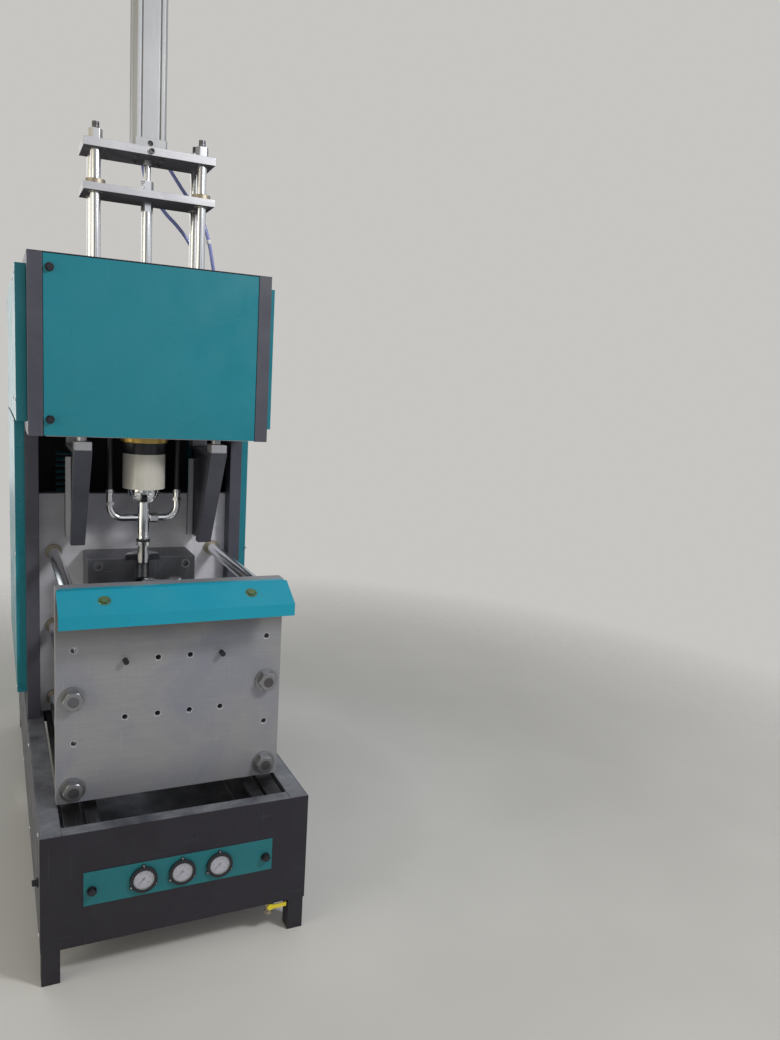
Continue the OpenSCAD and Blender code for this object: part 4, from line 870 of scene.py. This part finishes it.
class MACHINE_OT_covers(Dresser, bpy.types.Operator):
    """Teal sheets of the hood and tower, with their screws and louvres"""

    bl_idname = "machine.covers"
    bl_label = "Covers"

    def make(self):
        edge, wall, inner = sizes().sheet_edge, span("uprights")[1].x - 2, span("back_panels")[0].y
        for part in ("hood_front_panel", "side_covers", "back_panels"):
            # Inner faces of the back sheets and side covers take the fascia's dark paint: painted shade inside the
            # hood.
            recolour(dress(part, "teal paint", edge, "teal edge"), "fascia paint",
                     lambda middle, normal: (normal.y < -0.7 and abs(middle.y - inner) < 0.1)
                     or (normal.x * middle.x < 0 and abs(normal.x) > 0.7 and abs(middle.x) > wall))
        dress("canopy", "canopy paint", edge, "canopy paint")
        dress("gauge_panel", "strip paint", edge, "teal edge")

        # Screws: side covers, back sheets, roof and the base's sides, each with a turn of its own
        (low, high), roof, base, back = (span(part) for part in (
            "side_covers", "hood_roof", "base_side_panels", "back_panels"))
        seam, inset, rows, places = roof[0].z - 440, 24, 6, []
        for way in SIDES:
            x = high.x * way
            for z in (low.z + inset, (low.z + seam) / 2, seam - 40, seam + 30, high.z - inset):
                for y in (span("fixed_platen")[0].y - 40, high.y - inset):
                    places.append(((x, y, z), (way, 0, 0), 20 * z))
            places += [((x, low.y + inset, z), (way, 0, 0), 35) for z in (seam + 30, high.z - inset)]
        for way in SIDES:
            for row in range(rows):
                z = back[0].z + 20 + (back[1].z - back[0].z - 40) * row / (rows - 1)
                places.append(((way * (back[1].x - 16), back[1].y, z), (0, 1, 0), 31 * row))
        for sheet, shares, inward, heights, turn in (
                (roof, (0.02, 0.34, 0.66, 0.98), 20, (roof[1].z,), 47),
                (base, (0.03, 0.35, 0.65, 0.97), 0, (base[0].z + 16, base[1].z - 16), 77)):
            for way in SIDES:
                facing = (0, 0, 1) if inward else (way, 0, 0)
                places += [((way * (sheet[1].x - inward), sheet[0].y + (sheet[1].y - sheet[0].y) * share, z), facing,
                            turn * share) for share in shares for z in heights]
        set_screws("cover_screws", PAN_HEAD, sizes().screw / MM, places, "bright nut")

        half, rise, out, thick, slat_x, pitch = 47, 16, 8, 1.2, 150, 26
        cross = [(-0.4, 0), (out * 0.6, -rise * 0.22), (out, -rise * 0.6), (out, -rise), (out - thick, -rise),
                 (out - thick, -rise * 0.6), (out * 0.6 - thick, -rise * 0.22 - thick), (-0.4, -thick * 1.6)]
        louvre = Form().prism(cross, 2 * half, (-half, 0, 0), "X").to_mesh("louvre")
        first = roof[1].z - 509 - 151
        slats = [((way * slat_x, back[1].y, first - row * pitch), (0, 0, 1), 0) for way in SIDES for row in range(8)]
        set_copies("back_louvres", louvre, slats, "teal paint", FRAME, "teal_paint")


class MACHINE_OT_gauges(Dresser, bpy.types.Operator):
    """Gauges with printed dials, quarter-turn locks and the drain valve"""

    bl_idname = "machine.gauges"
    bl_label = "Gauges, locks and valve"

    def make(self):
        coat("dial card", "gauge_dials")
        coat("clear lens", "gauge_glasses")
        coat("black plastic", "needle_left", "needle_middle", "needle_right")
        dress("gauge_cases", "black plastic", 0.0008, least=2)
        for part in ("lock_gauge_left", "lock_gauge_right", "lock_hood_top", "lock_hood_bottom", "lock_base_side"):
            dress(part, "black plastic", 0.0007, least=2)
        dress("drain_valve", "dull bronze", 0.0006, least=6)
        dress("drain_lever", "yellow vinyl", 0.0015, least=5)

        face, panel, reach, ears = span("gauge_dials")[0].y, span("gauge_panel")[0].y, 36.5, []
        for side in ("left", "middle", "right"):
            centre = PIVOT[side + "_needle_turn"]
            spot = Vector((centre.x, face - 0.1, centre.z)) * MM
            for kind, count, mark in (("fine", sizes().marks, (0.0020, 0.0002, 0.00028)),
                                      ("bold", 11, (0.0036, 0.0003, 0.0006))):
                name = f"dial_{kind}_marks_{side}"
                grow(name, "Dial Scale", path_mesh(name, []), "dial ink", FRAME, "white_dial", Marks=count,
                     Mark=mark, Centre=spot, Reach=0.0245)
            self.numbers(centre, face).put("dial_numbers_" + side, "dial ink", FRAME, "white_dial")
            for degrees in (-30, -150, 90):
                angle = math.radians(degrees)
                ears.append(((centre.x + reach * math.cos(angle), panel - 3, centre.z + reach * math.sin(angle)),
                             (0, -1, 0), degrees))
        set_screws("gauge_screws", PAN_HEAD, 2.6, ears, "bright nut")

    def numbers(self, centre, face):
        """Numbers 0 to 10 round the scale, as one mesh."""
        form, steps, radius = Form(), 5, 15.8
        for i in range(steps + 1):
            text = bpy.data.curves.new("number", "FONT")
            text.body, text.size, text.extrude = str(2 * i), 6.4, 0.08
            text.align_x = text.align_y = "CENTER"
            holder = show("number", text)
            graph = bpy.context.evaluated_depsgraph_get()
            mesh = bpy.data.meshes.new_from_object(holder.evaluated_get(graph))
            angle = math.radians(225 - 270 * i / steps)
            spot = Vector((centre.x + radius * math.cos(angle), face - 0.15, centre.z + radius * math.sin(angle)))
            mesh.transform(Matrix.Translation(spot) @ Matrix.Rotation(math.pi / 2, 4, "X"))
            form.mesh.from_mesh(mesh)
            bpy.data.meshes.remove(mesh)
            bpy.data.objects.remove(holder)
            bpy.data.curves.remove(text)
        return form


class MACHINE_OT_clamp(Dresser, bpy.types.Operator):
    """Platens, guide rods, nuts, bushes and the crosshead"""

    bl_idname = "machine.clamp"
    bl_label = "Clamp unit"

    def make(self):
        for part, material in (("moving_platen", "platen steel"), ("crosshead", "ground steel"),
                               ("fixed_platen", "fixed plate")):
            dress(part, material, sizes().plate_edge, "steel edge")
        low, (lip, top) = span("moving_platen")[0], span("canopy")
        tip, bush_x = low.y + 30, 170
        recolour(dress("guide_rods", "hard chrome"), "stud steel", lambda middle, normal: middle.y < tip)
        coat("hard chrome", "clamp_piston_rod")
        dress("rod_nuts", "nut steel", 0.0006, least=5)
        dress("rod_washers", "nut steel", 0.0006, least=2)
        recolour(dress("platen_screws", "oily steel", 0.0006, least=4), "zinc plate",
                 lambda middle, normal: middle.z > lip.z)
        recolour(dress("guide_bushes", "dull bronze"), "nut steel", lambda middle, normal: abs(middle.x) < bush_x)

        drop, run, screw_x, out, down = 46, 77, 190, 64.65, 20.7
        slope = Vector((0, -drop, run)).normalized().to_track_quat("Z", "Y").to_matrix()
        washers = Form()
        for way in SIDES:
            washers.lathe([(11.5, 0), (15.4, 0), (16, 0.6), (15.4, 1.6), (11.5, 1.6)],
                          (way * screw_x, top.y - out, top.z - down), slope, 28, ring=True)
        washers.put("canopy_washers", "zinc plate", CLAMP, "zinc")

        rims = Form()
        mould_x, mould_z, corner_x, corner_z = (43, 129), (225, 384), 258, (166, 421)
        holes = [(way * x, z) for way in SIDES for x in mould_x for z in mould_z]
        for x, z in holes + [(way * corner_x, z) for way in SIDES for z in corner_z]:
            rims.lathe([(7.4, 0.4), (9.2, -0.25), (9.2, 0.6), (7.4, 2.4)], (x, low.y, low.z + z), "Y", 28, ring=True)
        # The hole chamfers take the fixed platen's very pale finish, whose paleness is partly painted light.
        rims.put("hole_chamfers", "fixed plate", CLAMP, "ground_steel")


class MACHINE_OT_moulds(Dresser, bpy.types.Operator):
    """Mould halves with their neck rings and leader pins"""

    bl_idname = "machine.moulds"
    bl_label = "Moulds"

    def make(self):
        dress("mould_fixed_half", "mould steel", 0.0012, "mould edge", least=20)
        # Faces of the moving half that face up take the paler plate steel: painted light on the mould's top.
        recolour(dress("mould_moving_half", "mould steel", 0.0012, "mould edge", least=20), "plate steel",
                 lambda middle, normal: normal.z > 0.9)
        coat("hard chrome", "neck_ring_fixed", "neck_ring_moving", "mould_pins")


class MACHINE_OT_nozzle(Dresser, bpy.types.Operator):
    """Seal cylinder, nozzle, bent air pipes and the head plate that carries them"""

    bl_idname = "machine.nozzle"
    bl_label = "Nozzle unit"

    def make(self):
        dress("head_plate", "plate steel", sizes().plate_edge, "steel edge")
        dress("gusset_blocks", "ground steel", sizes().plate_edge, "steel edge")
        dress("seal_barrel", "cream tube", 0.001, least=2)
        dress("seal_cap", "black plastic", 0.0015, least=2)
        dress("seal_flange", "golden flange", 0.001, least=2)
        coat("hard chrome", "nozzle_tube", "nozzle_tip")

        axis, (foot, head) = middle_y("nozzle_tube"), (corner.z for corner in span("seal_gland"))
        left, right = span("nozzle_tip")
        bore = (right.x - left.x) / 2 + 0.4
        bell = [(bore, 0), (29, 0), (33, 1.5), (38, 7), (43, 15), (47, 23), (49.5, 32), (50, 36), (50, head - foot),
                (bore, head - foot)]
        gland = Form().lathe(bell, (0, axis, foot), sides=56, ring=True)
        gland.put("bell_gland", "hard chrome", BODY["seal_gland"], "chrome", "seal_gland")

        low, top = span("nozzle_tube")[0].z, span("air_pipes")[1].z
        height, tube = low + 68, 17.5
        lines = [[(way * tube, axis, height), (way * PIPE_X, axis, height), (way * PIPE_X, axis, top)] for way in SIDES]
        grow("bent_air_pipes", "Bent Pipe", path_mesh("bent_air_pipes", lines), "hard chrome", NOZZLE, "chrome",
             "air_pipes", Radius=sizes().pipe, Bend=sizes().pipe_bend)
        nut = [(11, 0), (12.2, 0, True), (12.9, 0.8, True), (12.9, 11.2, True), (12.2, 12, True), (11, 12)]
        collar = [(11, 0), (12.4, 0), (13.2, 1), (13.2, 5), (12.4, 6), (11, 6)]
        union = [(11, 0), (13.6, 0, True), (14.4, 1, True), (14.4, 24, True), (13.6, 25, True), (11, 25)]
        fittings = Form()
        for x, joint in ((-PIPE_X, 42), (PIPE_X, 56)):
            fittings.lathe(nut, (x, axis, height + joint), sides=24, ring=True)
            fittings.lathe(collar, (x, axis, top - 9), sides=24, ring=True)
        fittings.lathe(union, (tube + 3, axis, height), "X", 24, ring=True)
        fittings.put("pipe_unions", "bright nut", NOZZLE, "chrome")
        inner, wide, tall = 17, 4.5, 4.3
        seal = [(inner + wide * (1 + math.cos(a)) / 2, wide + tall * math.sin(a))
                for a in (math.tau * i / 12 for i in range(12))]
        ring = Form().lathe(seal, (0, axis, low - 9), ring=True, sides=40)
        ring.put("nozzle_seal", "rubber", NOZZLE, "seal_ring")


class MACHINE_OT_stretch(Dresser, bpy.types.Operator):
    """Columns, plates, stretch rod and the square stretch cylinder"""

    bl_idname = "machine.stretch"
    bl_label = "Stretch unit"

    def make(self):
        (low, high), nut_top = span("top_plate"), span("column_nuts")[1].z
        # Faces of the plates that face down take a much darker finish.
        for part in ("stretch_plate", "top_plate"):
            recolour(dress(part, "plate steel", sizes().plate_edge, "steel edge"), "plate below",
                     lambda middle, normal: normal.z < -0.7)
        recolour(dress("guide_columns", "hard chrome"), "stud steel", lambda middle, normal: middle.z > high.z + 0.5)
        coat("hard chrome", "stretch_rod", "stretch_piston_rod")
        coat("dull bronze", "stretch_bushes")
        recolour(dress("column_nuts", "bright nut", 0.0012, least=5), "stud steel",
                 lambda middle, normal: middle.z > nut_top - 0.1)
        dress("stretch_barrel", "drawn alloy", 0.0008, least=5)
        dress("stretch_caps", "drawn alloy", 0.0010, least=5)

        axis, top, flange = middle_y("top_plate"), span("stretch_caps")[1].z, span("stretch_bushes")[1].z
        columns = [(x, axis + y) for x in (-COLUMN_X, COLUMN_X) for y in (-COLUMN_Y, COLUMN_Y)]
        points = points_mesh("stud_threads", [((x, y, nut_top - 1), (0, 0, 1), 0) for x, y in columns])
        grow("stud_threads", "Wound Thread", points, "stud steel", FRAME, "chrome", smooth=50, Radius=0.0096,
             Pitch=sizes().thread_pitch, Turns=7.6)
        below, above, sunk = 36, 38, 5
        heads = [((x, axis + y, low.z), (0, 0, -1), 10) for x in (-below, below) for y in (-below, below)]
        heads += [((x, axis + y, top - sunk), (0, 0, 1), 0) for x in (-above, above) for y in (-above, above)]
        set_screws("cylinder_screws", CAP_HEAD, 6.5, heads)
        set_screws("plate_screw", CAP_HEAD, 8.0, [((0, low.y, low.z + 11), (0, -1, 0), 15)])
        reach, first = 24, 0.4
        small = [((x + reach * math.cos(a), y + reach * math.sin(a), flange), (0, 0, 1), 0)
                 for x, y in columns for a in (first, first + math.tau / 3, first + 2 * math.tau / 3)]
        set_screws("slide_bush_screws", CAP_HEAD, 2.8, small, body=SLIDE)
        Form().lathe([(7.2, 0), (10.4, 0), (11.4, 1), (11.4, 13), (7.2, 13)], (0, axis, low.z - 13), ring=True).put(
            "gland_collar", "bright nut", FRAME, "chrome")


OPERATORS = (MACHINE_OT_studio, MACHINE_OT_hoses, MACHINE_OT_frame, MACHINE_OT_covers, MACHINE_OT_gauges,
             MACHINE_OT_clamp, MACHINE_OT_moulds, MACHINE_OT_nozzle, MACHINE_OT_stretch)


class MACHINE_PT_panel(bpy.types.Panel):
    """Lists the operators and what they read"""

    bl_label = "Blow moulding machine"
    bl_idname = "MACHINE_PT_panel"
    bl_space_type = "VIEW_3D"
    bl_region_type = "UI"
    bl_category = "Machine"

    def draw(self, context):
        for operator in OPERATORS:
            self.layout.operator(operator.bl_idname)
        for group in (context.scene.machine_sizes, context.scene.machine_colours):
            box = self.layout.box()
            for name in group.__annotations__:
                box.prop(group, name)


CLASSES = (MachineColours, MachineSizes, *OPERATORS, MACHINE_PT_panel)


def register():
    for cls in CLASSES:
        bpy.utils.register_class(cls)
    bpy.types.Scene.machine_colours = PointerProperty(type=MachineColours)
    bpy.types.Scene.machine_sizes = PointerProperty(type=MachineSizes)


def unregister():
    del bpy.types.Scene.machine_sizes
    del bpy.types.Scene.machine_colours
    for cls in reversed(CLASSES):
        bpy.utils.unregister_class(cls)


def main():
    register()
    build_effects()
    build_materials()
    build_growers()
    for operator in OPERATORS:
        getattr(bpy.ops.machine, operator.bl_idname.removeprefix("machine."))()


if __name__ == "__main__":
    main()
